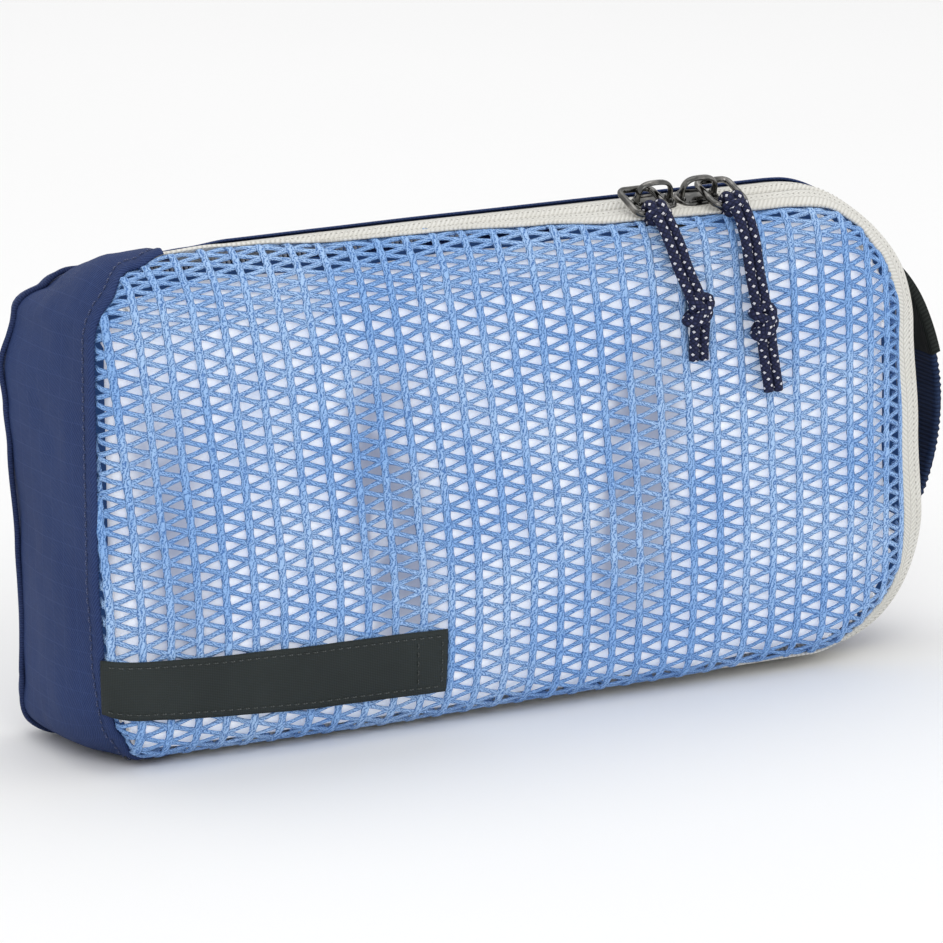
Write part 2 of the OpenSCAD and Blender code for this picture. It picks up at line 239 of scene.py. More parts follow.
def spline(p, steps):
    """Smooth curve through points, with a number of steps between each two."""
    ext = np.concatenate([[2 * p[0] - p[1]], p, [2 * p[-1] - p[-2]]])
    out = []
    for i in range(len(p) - 1):
        p0, p1, p2, p3 = ext[i:i + 4]
        for t in np.linspace(0, 1, steps, endpoint=False):
            out.append(0.5 * (2 * p1 + (p2 - p0) * t + (2 * p0 - 5 * p1 + 4 * p2 - p3) * t ** 2
                              + (3 * p1 - p0 - 3 * p2 + p3) * t ** 3))
    return np.array(out + [p[-1]])


def joined(name, parts, material):
    verts, faces, uv = join_arrays(parts)
    return build(name, verts, faces, material, uv)


def resample(path, step):
    """A path with evenly spaced points, on a smooth curve through those given."""
    out = spline(np.asarray(path, float), 12)
    d = run_length(out)
    return pick(np.linspace(0, d[-1], max(4, int(round(d[-1] / step)) + 1)), d, out)


def noise(x, y, size, seed):
    """Smooth noise of about unit height, with bumps about size across."""
    lattice = np.random.default_rng(seed).uniform(-1, 1, (64, 64))
    gx, gy = x / size + 100, y / size + 100
    ix, iy = np.floor(gx).astype(int), np.floor(gy).astype(int)
    fx, fy = gx - ix, gy - iy
    fx, fy = fx * fx * (3 - 2 * fx), fy * fy * (3 - 2 * fy)
    a, b = lattice[ix % 64, iy % 64], lattice[(ix + 1) % 64, iy % 64]
    c, d = lattice[ix % 64, (iy + 1) % 64], lattice[(ix + 1) % 64, (iy + 1) % 64]
    return a * (1 - fx) * (1 - fy) + b * fx * (1 - fy) + c * (1 - fx) * fy + d * fx * fy


# ---------------------------------------------------------------- the case's form
# Outline seen from the front: s runs in mm from the top left corner's end, clockwise as seen from the
# front, and n is the distance outward. Tables give n and y of the lines that run round the case.
LEFT, RIGHT, TOP = -123, 123, 126
NOSE_R, END_R = 38, 18
NOSE_X, END_X = RIGHT - NOSE_R, LEFT + END_R
NOSE_Z, END_Z = TOP - NOSE_R, TOP - END_R
Q = math.pi / 2
RUNS = np.array([NOSE_X - END_X, NOSE_R * Q, NOSE_Z - NOSE_R, NOSE_R * Q, NOSE_X - END_X, END_R * Q,
                 END_Z - END_R, END_R * Q])
STARTS = np.concatenate([[0], np.cumsum(RUNS)])
TOTAL = STARTS[-1]
# Where the zip's ends go under the woven end
TOP_END = 9.0
LOW_END = STARTS[5] - 9.0
FLOOR_GAP = 0.02


def outline(s):
    """x, z and the outward normal at s."""
    s = np.mod(np.asarray(s, float), TOTAL)
    x, z, nx, nz = (np.zeros_like(s) for _ in range(4))
    lines = {0: (END_X, TOP, 1, 0, 0, 1), 2: (RIGHT, NOSE_Z, 0, -1, 1, 0), 4: (NOSE_X, 0, -1, 0, 0, -1),
             6: (LEFT, END_R, 0, 1, -1, 0)}
    arcs = {1: (NOSE_X, NOSE_Z, NOSE_R, 90), 3: (NOSE_X, NOSE_R, NOSE_R, 0), 5: (END_X, END_R, END_R, -90),
            7: (END_X, END_Z, END_R, 180)}
    for i in range(8):
        m = (s >= STARTS[i]) & (s < STARTS[i + 1] + (1e-6 if i == 7 else 0))
        d = s[m] - STARTS[i]
        if i in lines:
            x0, z0, dx, dz, a, b = lines[i]
            x[m], z[m], nx[m], nz[m] = x0 + dx * d, z0 + dz * d, a, b
        else:
            cx, cz, r, start = arcs[i]
            a = math.radians(start) - d / r
            nx[m], nz[m] = np.cos(a), np.sin(a)
            x[m], z[m] = cx + r * nx[m], cz + r * nz[m]
    return x, z, nx, nz


def place(s, n, y):
    x, z, nx, nz = outline(s)
    n, y = np.broadcast_to(n, x.shape), np.broadcast_to(y, x.shape)
    return np.stack([x + n * nx, y, np.maximum(z + n * nz, FLOOR_GAP)], -1)


def along(rows, y=0):
    """A function of s through (s, n, y) rows, smooth, and the same after a whole turn. Rows without
    a y have the one given."""
    rows = np.array([(*row, y)[:3] for row in rows], float)
    key = np.concatenate([rows[-1:, 0] - TOTAL, rows[:, 0], rows[:1, 0] + TOTAL])
    val = np.concatenate([rows[-1:, 1:], rows[:, 1:], rows[:1, 1:]])

    def at(s):
        s = np.mod(np.asarray(s, float), TOTAL)
        i = np.clip(np.searchsorted(key, s, "right") - 1, 0, len(key) - 2)
        t = (s - key[i]) / (key[i + 1] - key[i])
        t = t * t * (3 - 2 * t)
        t = t[..., None]
        v = val[i] * (1 - t) + val[i + 1] * t
        return v[..., 0], v[..., 1]
    return at


FRONT, BACK = -27.5, 27.3
# Width of the shoulder inside the outline, where the flat front ends
CORE = 15.0
# How far the nose is drawn in at its soft upper corner
nose_sag = along([(190, 0), (220, -2.9), (250, -3.2), (278, -1.2), (303, 0.3), (328, 1.4), (362, 0)])


def sagged(rows, share=1.0, y=0):
    """A line like along's, drawn in by a share of the nose's sag."""
    line = along(rows, y)

    def at(s):
        n, y = line(s)
        return n + share * nose_sag(s)[0], y
    return at


# Edge of the mesh, where the tape or the woven end begins
edge_line = sagged([
    (0, -1.8, -15.6), (9, 0.7, -14), (20, 1.3, -14.6), (32, 1.0, -15.2), (58, -0.4, -17),
    (84, -0.5, -18.3), (112, -1.4, -20), (133, -2.9, -21), (181, -3.8, -21.3), (195, -4.8, -21.6),
    (205, -5.8, -22.2), (220, -7.5, -22.8), (235, -9.4, -23.3), (252, -10.9, -23.8), (300, -11.3, -23.8),
    (330, -8.5, -23), (359, -4.0, -21.2), (400, -2.9, -18.6), (440, -2.4, -17.6), (478, -1.6, -17.2),
    (510, -1.8, -17), (540, -2.0, -17), (549, -2.2, -18), (563, -6.2, -21.6), (574, -6.6, -23.2),
    (590, -4.6, -23.4), (610, -3.4, -23.4), (667, -3.0, -23.4), (682, -3.8, -22.2)])
# Control line of the mesh's shoulder, between the flat front and its edge
shoulder_line = sagged([
    (0, -6.6, -26.6), (35, -6.6, -25.6), (94, -6.6, -26), (135, -6.6, -26.6), (190, -8, -27),
    (220, -11, -27.3), (252, -12.6, -27.4), (300, -12.6, -27.4), (330, -11.5, -27.3), (359, -8, -27.3),
    (400, -3.4, -27), (500, -2.2, -26.8), (549, -3.0, -27), (563, -7.6, -27.3), (574, -8.4, -27.5),
    (590, -6.8, -27.5), (610, -5.6, -27.5), (667, -5.2, -27.5), (682, -7, -27.2)], 0.5)
# Line where the two halves of the tape meet
coil_line = sagged([
    (9, -1.3, -12.5), (22, -1.1, -12.5), (58, -1.0, -12.5), (94, -1.0, -12.5), (133, -1.7, -12.5),
    (185, -1.7, -12.5), (205, -1.6, -13.5), (220, -1.6, -15.5), (235, -2.0, -18), (252, -3.2, -20.8),
    (300, -3.4, -20.8), (330, -2.4, -18), (359, -2.2, -14.6), (400, -2.3, -12.5), (540, -2.3, -12.5)])
# Back edge of the tape, where the gusset begins
tape_back_line = sagged([
    (9, -1.8, -3.9), (20, -1.2, -3.9), (32, -0.3, -3.9), (58, -0.2, -3.9), (84, -0.1, -3.9),
    (112, -0.2, -3.9), (185, -0.4, -3.9), (205, -1.4, -4.8), (220, -1.8, -7.5), (235, -1.6, -9.8),
    (252, -1.0, -12.4), (300, -0.7, -12.4), (330, -0.3, -9), (359, -0.3, -5), (400, -0.5, -3.9),
    (540, -0.5, -3.9)])
# Start and end of the rounding between the walls and the back
round_line = sagged([
    (0, -8.8), (35, -9.5), (100, -10.5), (190, -11), (205, -10.8), (220, -9), (235, -6.5), (252, -4),
    (300, -3), (330, -3), (359, -2), (540, -1.2), (563, 0.0), (575, -3.6), (590, -4.0), (610, -3.0),
    (634, -1.3), (645, -0.3), (655, 0.9), (668, -3), (682, -9)], y=17)
back_line = sagged([
    (0, -15.6), (190, -18), (220, -17), (252, -13), (300, -12), (359, -10.5), (540, -9.5), (563, -9.8),
    (578, -13.0), (600, -12.4), (640, -10), (667, -12), (682, -16)], y=BACK)


def bend3(a, b, c, t):
    """Quadratic curve from a to c, drawn towards b, of (n, y) pairs."""
    u = 1 - t
    return (u * u * a[0] + 2 * u * t * b[0] + t * t * c[0], u * u * a[1] + 2 * u * t * b[1] + t * t * c[1])


# Shoulder of the mesh by even steps of arc length, for any s
ROUND, STEPS = 1400, 32


def shoulder_tables():
    """The shoulder's length, and its n and y at even steps, all round the case."""
    s = np.linspace(0, TOTAL, ROUND, endpoint=False)
    n, y = bend3((np.full((ROUND, 1), -CORE), np.full((ROUND, 1), FRONT)),
                 tuple(v[:, None] for v in shoulder_line(s)),
                 tuple(v[:, None] for v in edge_line(s)), np.linspace(0, 1, 65)[None, :])
    d = summed(np.hypot(np.diff(n, axis=1), np.diff(y, axis=1)))
    f = np.linspace(0, 1, STEPS + 1)
    return s, d[:, -1], *(np.stack([np.interp(f, d[i] / d[i, -1], a[i]) for i in range(ROUND)])
                          for a in (n, y))


S_ROWS, EDGE_LEN, SH_N, SH_Y = shoulder_tables()


def edge_length(s):
    return np.interp(np.mod(s, TOTAL), np.append(S_ROWS, TOTAL), np.append(EDGE_LEN, EDGE_LEN[0]))


# How far the shoulder's line runs on past the mesh's edge, to be tucked under the tape
PAST_EDGE = 2.5


def shoulder_at(s, e):
    """n and y at arc length e past the flat front."""
    i = np.mod(s, TOTAL) / TOTAL * ROUND
    i0 = np.floor(i).astype(int) % ROUND
    fi = i - np.floor(i)
    i1 = (i0 + 1) % ROUND
    f = np.clip(e, 0, edge_length(s) + PAST_EDGE) / edge_length(s) * STEPS
    j0 = np.minimum(np.floor(f).astype(int), STEPS - 1)
    fj = f - j0

    def read(a):
        lo = a[i0, j0] * (1 - fj) + a[i0, j0 + 1] * fj
        hi = a[i1, j0] * (1 - fj) + a[i1, j0 + 1] * fj
        return lo * (1 - fi) + hi * fi
    return read(SH_N), read(SH_Y)


def flat_to_outline(u, v):
    """s and n of a point of the front seen flat."""
    u, v = np.asarray(u, float), np.asarray(v, float)
    top, low, left, right = v - TOP, -v, LEFT - u, u - RIGHT
    n = np.maximum(np.maximum(top, low), np.maximum(left, right))
    s = np.select([n == top, n == low, n == right], [
        np.clip(u - END_X, 0, RUNS[0]), STARTS[4] + np.clip(NOSE_X - u, 0, RUNS[4]),
        STARTS[2] + np.clip(NOSE_Z - v, 0, RUNS[2])], STARTS[6] + np.clip(v - END_R, 0, RUNS[6]))
    for cx, cz, r, run, ok, start in (
            (NOSE_X, NOSE_Z, NOSE_R, 1, (u > NOSE_X) & (v > NOSE_Z), 90),
            (NOSE_X, NOSE_R, NOSE_R, 3, (u > NOSE_X) & (v < NOSE_R), 0),
            (END_X, END_R, END_R, 5, (u < END_X) & (v < END_R), -90),
            (END_X, END_Z, END_R, 7, (u < END_X) & (v > END_Z), 180)):
        ang = np.degrees(np.arctan2(v - cz, u - cx))
        turn = np.mod(start - ang, 360)
        turn = np.where(turn > 180, 0, turn)
        s = np.where(ok, STARTS[run] + np.radians(turn) * r, s)
        n = np.where(ok, np.hypot(u - cx, v - cz) - r, n)
    return s, n


def front_relief(x, z):
    """How far the soft front stands out (-) or sinks (+) in y."""
    body = -1.1 * np.cos((x - 5) / 260 * math.pi) * np.sin(np.clip(z / 126, 0, 1) * math.pi)
    folds = 0.9 * np.exp(-((x + 41 + 0.1 * (z - 63)) / 7) ** 2) + 0.8 * np.exp(-((x - 30) / 8) ** 2)
    folds = folds * np.exp(-((z - 52) / 34) ** 2)
    side = 1.0 * np.exp(-((x + 100) / 7) ** 2) * np.exp(-((z - 76) / 22) ** 2)
    return body + folds + side + 0.45 * noise(x, z * 0.6, 26, 3) + 0.2 * noise(x, z, 11, 4)


# How far the front has turned back by the start of its shoulder
nose_turn = along([(0, 0.8), (135, 0.4), (190, 0.8), (220, 1.8), (252, 2.4), (300, 2.4), (330, 1.6),
                   (359, 0.5), (549, 0.3), (578, 0), (667, 0), (682, 0.5)])


def front(u, v):
    """The mesh front's surface at flat places u, v. Also the distance left to the mesh's edge."""
    s, n = flat_to_outline(u, v)
    e = n + CORE
    sn, sy = shoulder_at(s, np.maximum(e, 0))
    x, z, nx, nz = outline(s)
    out = e > 0
    px, pz = np.where(out, x + sn * nx, u), np.where(out, z + sn * nz, v)
    turn = nose_turn(s)[0]
    t = np.clip((e + 15) / 15, 0, 1)
    y = np.where(out, sy + turn * np.clip(1 - e / edge_length(s), 0, 1), FRONT + turn * t * t)
    fade = np.clip(1 - np.maximum(e + 6, 0) / 14, 0, 1)
    y = y + front_relief(px, pz) * fade * fade * (3 - 2 * fade)
    return np.stack([px, y, pz], -1), edge_length(s) - e


def front_normal(u, v):
    a, b, c, d = (front(u + i, v + j)[0] for i, j in ((0.3, 0), (-0.3, 0), (0, 0.3), (0, -0.3)))
    return unit(np.cross(a - b, c - d))


# ---------------------------------------------------------------- shader helpers
class Val:
    """A number in a shader, which sums and products can be written with."""

    def __init__(self, graph, socket):
        self.g, self.socket = graph, socket

    def _op(self, op, *others):
        node = self.g.tree.nodes.new("ShaderNodeMath")
        node.operation = op
        for i, x in enumerate((self, *others)):
            if isinstance(x, Val):
                self.g.tree.links.new(x.socket, node.inputs[i])
            else:
                node.inputs[i].default_value = x
        return Val(self.g, node.outputs[0])

    def __add__(self, o): return self._op("ADD", o)
    def __sub__(self, o): return self._op("SUBTRACT", o)
    def __mul__(self, o): return self._op("MULTIPLY", o)
    def __truediv__(self, o): return self._op("DIVIDE", o)
    def sin(self): return self._op("SINE")
    def abs(self): return self._op("ABSOLUTE")
    def floor(self): return self._op("FLOOR")
    def fract(self): return self._op("FRACT")
    def mod(self, o): return self._op("FLOORED_MODULO", o)
    def gt(self, o): return self._op("GREATER_THAN", o)
    def lt(self, o): return self._op("LESS_THAN", o)
    def power(self, o): return self._op("POWER", o)
    def most(self, o): return self._op("MAXIMUM", o)

    def wave(self, pitch):
        """0 to 1 and back, once in each pitch."""
        return (self * (2 * math.pi / pitch)).sin() * 0.5 + 0.5

    def ramp(self, low, high):
        """0 below low and 1 above high."""
        node = self.g.tree.nodes.new("ShaderNodeMapRange")
        node.interpolation_type = "SMOOTHSTEP"
        self.g.tree.links.new(self.socket, node.inputs["Value"])
        node.inputs["From Min"].default_value = low
        node.inputs["From Max"].default_value = high
        return Val(self.g, node.outputs["Result"])


class Graph:
    """A material's node tree, around one Principled shader."""

    def __init__(self, name, rough=0.8, **fixed):
        self.mat = bpy.data.materials.new(name)
        self.mat.use_nodes = True
        self.tree = self.mat.node_tree
        self.bsdf = self.tree.nodes["Principled BSDF"]
        self.bsdf.inputs["Roughness"].default_value = rough
        for key, value in fixed.items():
            self.bsdf.inputs[key.replace("_", " ")].default_value = value

    def uv(self):
        """Along the cloth's two directions, in mm."""
        node = self.tree.nodes.new("ShaderNodeUVMap")
        node.uv_map = "UVMap"
        split = self.tree.nodes.new("ShaderNodeSeparateXYZ")
        self.tree.links.new(node.outputs[0], split.inputs[0])
        return Val(self, split.outputs[0]), Val(self, split.outputs[1])

    def place(self):
        """Object coordinates, in mm."""
        node = self.tree.nodes.new("ShaderNodeTexCoord")
        split = self.tree.nodes.new("ShaderNodeSeparateXYZ")
        self.tree.links.new(node.outputs["Object"], split.inputs[0])
        return [Val(self, split.outputs[i]) * 1000.0 for i in range(3)]

    def vector(self, x, y, z=0.0):
        node = self.tree.nodes.new("ShaderNodeCombineXYZ")
        for i, v in enumerate((x, y, z)):
            if isinstance(v, Val):
                self.tree.links.new(v.socket, node.inputs[i])
            else:
                node.inputs[i].default_value = v
        return node.outputs[0]

    def noise(self, scale, vector=None, detail=2.0):
        """Noise of 0 to 1. Without a vector its scale is in bumps a mm, on object coordinates."""
        node = self.tree.nodes.new("ShaderNodeTexNoise")
        node.inputs["Scale"].default_value = scale
        node.inputs["Detail"].default_value = detail
        if vector is None:
            vector = self.vector(*self.place())
        self.tree.links.new(vector, node.inputs["Vector"])
        return Val(self, node.outputs["Fac"])

    def mix(self, factor, a, b):
        node = self.tree.nodes.new("ShaderNodeMix")
        node.data_type = "RGBA"
        self.tree.links.new(factor.socket, node.inputs["Factor"])
        for key, c in ((6, a), (7, b)):
            if isinstance(c, (tuple, list)):
                node.inputs[key].default_value = (*c, 1)
            else:
                self.tree.links.new(c, node.inputs[key])
        return node.outputs[2]

    def colour(self, socket):
        self.tree.links.new(socket, self.bsdf.inputs["Base Color"])

    def rough(self, value):
        self.tree.links.new(value.socket, self.bsdf.inputs["Roughness"])

    def bump(self, height, depth):
        """Bump of a height of 0 to 1, which is depth mm high."""
        node = self.tree.nodes.new("ShaderNodeBump")
        node.inputs["Distance"].default_value = depth * MM
        node.inputs["Strength"].default_value = 1.0
        self.tree.links.new(height.socket, node.inputs["Height"])
        self.tree.links.new(node.outputs[0], self.bsdf.inputs["Normal"])


# ---------------------------------------------------------------- materials
def yarn_material():
    """Knitted yarn: fine filaments that twist round the strand, lighter on its crown. The lighter yarn
    turns deeper blue in random patches, and deeper blue as painted shade over the left part of the front
    near the plain end.
    """
    g = Graph("blue_yarn", 0.72, Specular_IOR_Level=0.3)
    u, v = g.uv()
    drift = g.noise(0.7, detail=1.0)
    ply = (u * 6.0 + v / 3.2 + drift * 2.4).wave(1.0)
    fleck = g.noise(3.0, detail=3.0)
    shade = ply * 0.24 + fleck * 0.72
    x, _, z = g.place()
    # painted shade: the net is made deeper blue over the left part of the front, near the plain end, where
    # it falls into shadow
    left_end_painted_shade = ((x + 92.0).abs() * -0.03 + 1.0).ramp(0.0, 1.0) \
        * ((z - 62.0).abs() * -0.02 + 1.0).ramp(0.0, 1.0)
    random_patch_and_painted_shade = g.noise(0.035, detail=1.0).ramp(0.35, 0.65).most(left_end_painted_shade)
    light = g.mix(random_patch_and_painted_shade, (0.42, 0.62, 0.92), (0.27, 0.48, 0.85))
    g.colour(g.mix(shade.ramp(0.30, 0.56), (0.062, 0.170, 0.45), light))
    g.bump(ply * 0.5 + fleck * 0.8, 0.26)
    return g.mat


def tissue_material():
    # White tissue with painted light: it glows a little in its own colour, and painted shade greys its
    # upright folds
    g = Graph("white_tissue", 0.9, Emission_Strength=0.26)
    u, v = g.uv()
    # painted shade: grey bands down the three upright folds, fading above and below their middle and broken
    # by noise
    fold = ((u + v * 0.12 + 33.4).abs() * -0.072 + 1.0).ramp(0.0, 0.55)
    fold = fold.most(((u - v * 0.1 - 25.0).abs() * -0.068 + 1.0).ramp(0.0, 0.55) * 0.9)
    fold = fold.most(((u + v * 0.15 + 91.6).abs() * -0.065 + 1.0).ramp(0.0, 0.95) * 0.85)
    fold = fold * ((v - 56.0).abs() * -0.022 + 1.0).ramp(0.0, 0.6) * g.noise(0.06).ramp(0.25, 0.5)
    white = g.mix(g.noise(0.05).ramp(0.3, 0.7), (0.90, 0.915, 0.95), (0.975, 0.98, 0.99))
    tone_with_painted_shade = g.mix(fold, white, (0.44, 0.47, 0.56))
    g.colour(tone_with_painted_shade)
    # painted light: the same colour, painted fold shade included, is given as the tissue's glow
    g.tree.links.new(tone_with_painted_shade, g.bsdf.inputs["Emission Color"])
    g.bump(g.noise(0.35, detail=4.0), 0.5)
    return g.mat


def twill_material(name, dark, light, rough=0.72, grid=True, **fixed):
    """Fine twill with a faint ripstop grid. Its UV is in mm."""
    g = Graph(name, rough, Specular_IOR_Level=0.22, **fixed)
    u, v = g.uv()
    rib = (u * 0.55 + v).wave(0.62)
    cross = (u - v * 0.35).wave(0.45)
    height = rib * 0.7 + cross * 0.3
    shade = height * 0.55 + g.noise(0.5) * 0.25 + g.noise(0.03, detail=1.0) * 0.3
    colour = g.mix(shade.ramp(0.2, 0.9), dark, light)
    if grid:
        line = ((u / 5.2).fract() - 0.5).abs().lt(0.03).most(((v / 5.2).fract() - 0.5).abs().lt(0.03))
        lighter = tuple(min(1, c * 1.25) for c in light)
        colour = g.mix(line * 0.3, colour, lighter)
        height = height + line * 0.35
    g.colour(colour)
    g.rough(height * -0.12 + (rough + 0.06))
    g.bump(height, 0.17)
    return g.mat


def tape_material():
    """Herringbone tape. u runs along the tape and v across it from the line where its halves meet."""
    g = Graph("herringbone_tape", 0.82, Sheen_Weight=0.2, Sheen_Roughness=0.5)
    u, v = g.uv()
    zone = (v.abs() - 4.6).gt(0.0) * 2.0 - 1.0
    rib = (u + v.abs() * zone * 0.75).wave(1.3)
    warp = v.wave(0.75)
    height = rib * 0.75 + warp * 0.25
    seam = (v.abs() - 4.6).abs().lt(0.18)
    worn = g.noise(0.05, detail=2.0)
    light = g.mix(worn.ramp(0.3, 0.7), (0.735, 0.72, 0.66), (0.79, 0.78, 0.735))
    g.colour(g.mix((height - seam * 0.4).ramp(0.0, 0.6), (0.56, 0.545, 0.495), light))
    g.bump(height - seam * 0.5, 0.22)
    return g.mat


def plastic_material(name, colour, rough=0.35):
    g = Graph(name, rough, Coat_Weight=0.15)
    n = g.noise(0.4)
    g.colour(g.mix(n, tuple(c * 0.88 for c in colour), colour))
    g.rough(n * 0.2 + (rough - 0.1))
    return g.mat


def metal_material():
    """Polished black nickel, a little uneven, and brighter where handling has worn it."""
    g = Graph("black_nickel", 0.22, Metallic=1.0)
    n = g.noise(0.35, detail=3.0)
    g.colour(g.mix(n.ramp(0.4, 0.75), (0.10, 0.10, 0.097), (0.28, 0.27, 0.255)))
    g.rough(n * 0.16 + 0.07)
    g.bump(g.noise(1.4, detail=2.0), 0.02)
    return g.mat


def cord_material():
    """Braided cord: two sets of strands that cross, with single white yarns. u is in turns, v in mm."""
    g = Graph("braided_cord", 0.78, Specular_IOR_Level=0.25)
    u, v = g.uv()
    a, b = u * 5.0 + v / 1.25, u * 5.0 - v / 1.25
    fa, fb = (a.fract() - 0.5).abs(), (b.fract() - 0.5).abs()
    cell = (fa.most(fb) * -2.0 + 1.0).power(0.6)
    fleck = (a.floor() + b.floor() * 2.0).mod(5.0).lt(0.5)
    fleck = fleck * (fa.most(fb)).lt(0.33)
    navy = g.mix(cell, (0.006, 0.008, 0.026), (0.026, 0.032, 0.092))
    g.colour(g.mix(fleck, navy, (0.70, 0.70, 0.76)))
    g.bump(cell, 0.3)
    return g.mat


def label_material():
    """Satin woven label: fine ribs along its length."""
    g = Graph("satin_label", 0.6, Specular_IOR_Level=0.25)
    u, v = g.uv()
    rib = v.wave(0.42) * 0.6 + u.wave(0.5) * 0.4
    cloud = g.noise(0.06)
    g.colour(g.mix((rib * 0.6 + cloud * 0.5).ramp(0.1, 1.0), (0.009, 0.013, 0.013), (0.026, 0.034, 0.033)))
    g.rough(rib * 0.15 + 0.42)
    g.bump(rib, 0.08)
    return g.mat


def thread_material(name, dark, light):
    g = Graph(name, 0.6, Sheen_Weight=0.2)
    u, v = g.uv()
    ply = (u + v / 0.6).wave(1.0)
    g.colour(g.mix(ply, dark, light))
    g.bump(ply, 0.08)
    return g.mat


def webbing_material():
    """Ribbed webbing: u along the strap, v across it, with rows of raised ribs."""
    g = Graph("ribbed_webbing", 0.85, Specular_IOR_Level=0.2)
    u, v = g.uv()
    rib = u.wave(1.15)
    chevron = (u + (v / 3.2).fract().mod(1.0) * 1.2).wave(0.55)
    height = rib * 0.7 + chevron * 0.3
    n = g.noise(0.12, detail=3.0)
    g.colour(g.mix((height * 0.7 + n * 0.4).ramp(0.1, 1.0), (0.006, 0.012, 0.036), (0.022, 0.042, 0.105)))
    g.bump(height, 0.16)
    return g.mat


def floor_material():
    g = Graph("pale_floor", 0.95)
    g.colour(g.mix(g.noise(0.004, detail=1.0), (0.90, 0.90, 0.90), (0.93, 0.93, 0.93)))
    return g.mat


YARN = yarn_material()
TISSUE = tissue_material()
WOVEN = twill_material("navy_twill", (0.015, 0.031, 0.108), (0.033, 0.061, 0.178))
# Inside of the woven shell, with painted light: its twill glows a soft blue though no lamp is there
GLOWING_LINING = twill_material("coated_inside_painted_glow", (0.016, 0.036, 0.115), (0.032, 0.064, 0.180), 0.6, grid=False,
                        Emission_Color=(0.03, 0.08, 0.22, 1), Emission_Strength=0.4)
BINDING = twill_material("navy_binding", (0.010, 0.019, 0.066), (0.026, 0.045, 0.135), 0.75, grid=False)
TAPE = tape_material()
COIL = plastic_material("nylon_coil", (0.74, 0.73, 0.69))
METAL = metal_material()
CORD = cord_material()
LABEL = label_material()
BLACK_TAB = twill_material("black_tab", (0.006, 0.008, 0.007), (0.017, 0.021, 0.019), 0.85, grid=False)
BLACK_THREAD = thread_material("black_thread", (0.010, 0.014, 0.014), (0.055, 0.066, 0.064))
NAVY_THREAD = thread_material("navy_thread", (0.012, 0.02, 0.065), (0.055, 0.085, 0.23))
PALE_THREAD = thread_material("pale_thread", (0.36, 0.35, 0.32), (0.62, 0.60, 0.56))
WEBBING = webbing_material()
FLOOR = floor_material()


# ---------------------------------------------------------------- pull cords, their knots and hitches
LEFT_ROUTE = [(38.2, -25.7, 124.2), (38.3, -27.1, 122.6), (38.7, -28.3, 120.8), (39.4, -29.2, 118.4),
              (40.2, -29.8, 115.8), (41, -30, 113.2), (42, -30.2, 110.5), (43, -30.8, 107.8),
              (44, -31.5, 105), (45, -32, 102), (45.6, -32, 99), (45.9, -31.5, 96), (46.1, -30.8, 93),
              (46.3, -30.3, 90.2), (46.5, -30, 87.4)]
RIGHT_ROUTE = [(60.8, -25.7, 124.2), (60.9, -27.1, 122.6), (61, -28.3, 120.8), (61.3, -29.4, 118),
               (61.7, -30, 115), (62.1, -30.2, 111.5), (62.6, -30.4, 108), (63.1, -30.8, 104.5),
               (63.6, -31.4, 101), (64.2, -32, 97.5), (64.9, -32, 94), (65.7, -31.4, 90.5),
               (66.5, -30.8, 87), (67.3, -30.4, 83.5), (68, -30.2, 80.2), (68.6, -30, 77)]
CORD_D = 2.6
# Distance of each strand from the middle of its pull, and where the sliders stand
STRAND = 1.4
LEFT_X, RIGHT_X = 43, 56
SLOPE = math.radians(16)
ZIP_Y, ZIP_Z = -12.5, TOP - 9 * math.sin(SLOPE)
PLATE_TOP = 1.95
RING = dict(short=9.3, long=11.2, bend=1.9, wire=1.7, back=2.3, axis_h=2.6, drop=math.radians(6))


def slider_space(x, points):
    """Points of a slider's own frame (along the zip, back, out of the tape) in the shared frame."""
    p = np.asarray(points, float)
    c, s = math.cos(SLOPE), math.sin(SLOPE)
    return np.stack([p[..., 0] + x, p[..., 1] * c - p[..., 2] * s + ZIP_Y,
                     p[..., 1] * s + p[..., 2] * c + ZIP_Z], -1)


def ring_space(x, hand, points):
    """Points of a ring's own frame in the shared frame."""
    p = np.asarray(points, float)
    c, s = math.cos(RING["drop"]), math.sin(RING["drop"])
    return slider_space(x, np.stack([
        p[..., 0] + hand * 4.75, p[..., 1] * c - p[..., 2] * s + RING["back"],
        p[..., 1] * s + p[..., 2] * c + PLATE_TOP + RING["axis_h"]], -1))


def make_hitch(name, x, hand):
    """Lark's head round the ring's free bar: two turns side by side, and the bight across them."""
    parts = []
    bar = -RING["long"]
    r = RING["wire"] / 2 + 1.38
    for side in (-1, 1):
        a = np.radians(np.linspace(-200, 150, 29))
        turn = np.stack([side * 1.42 + 0.12 * np.sin(a * 2), bar + r * np.cos(a) * 0.98,
                         r * np.sin(a)], 1)
        parts.append(tube_arrays(ring_space(x, hand, turn), 2.45, 2.45, 12, v0=1.7 + side * 0.62))
    t = np.linspace(0, math.pi, 20)
    bight = np.stack([2.6 * np.cos(t), bar - 1.3 - 1.5 * np.sin(t), 1.9 - 1.2 * np.abs(np.cos(t)) ** 3], 1)
    parts.append(tube_arrays(ring_space(x, hand, bight), 2.4, 2.4, 12))
    return joined(name, parts, CORD)


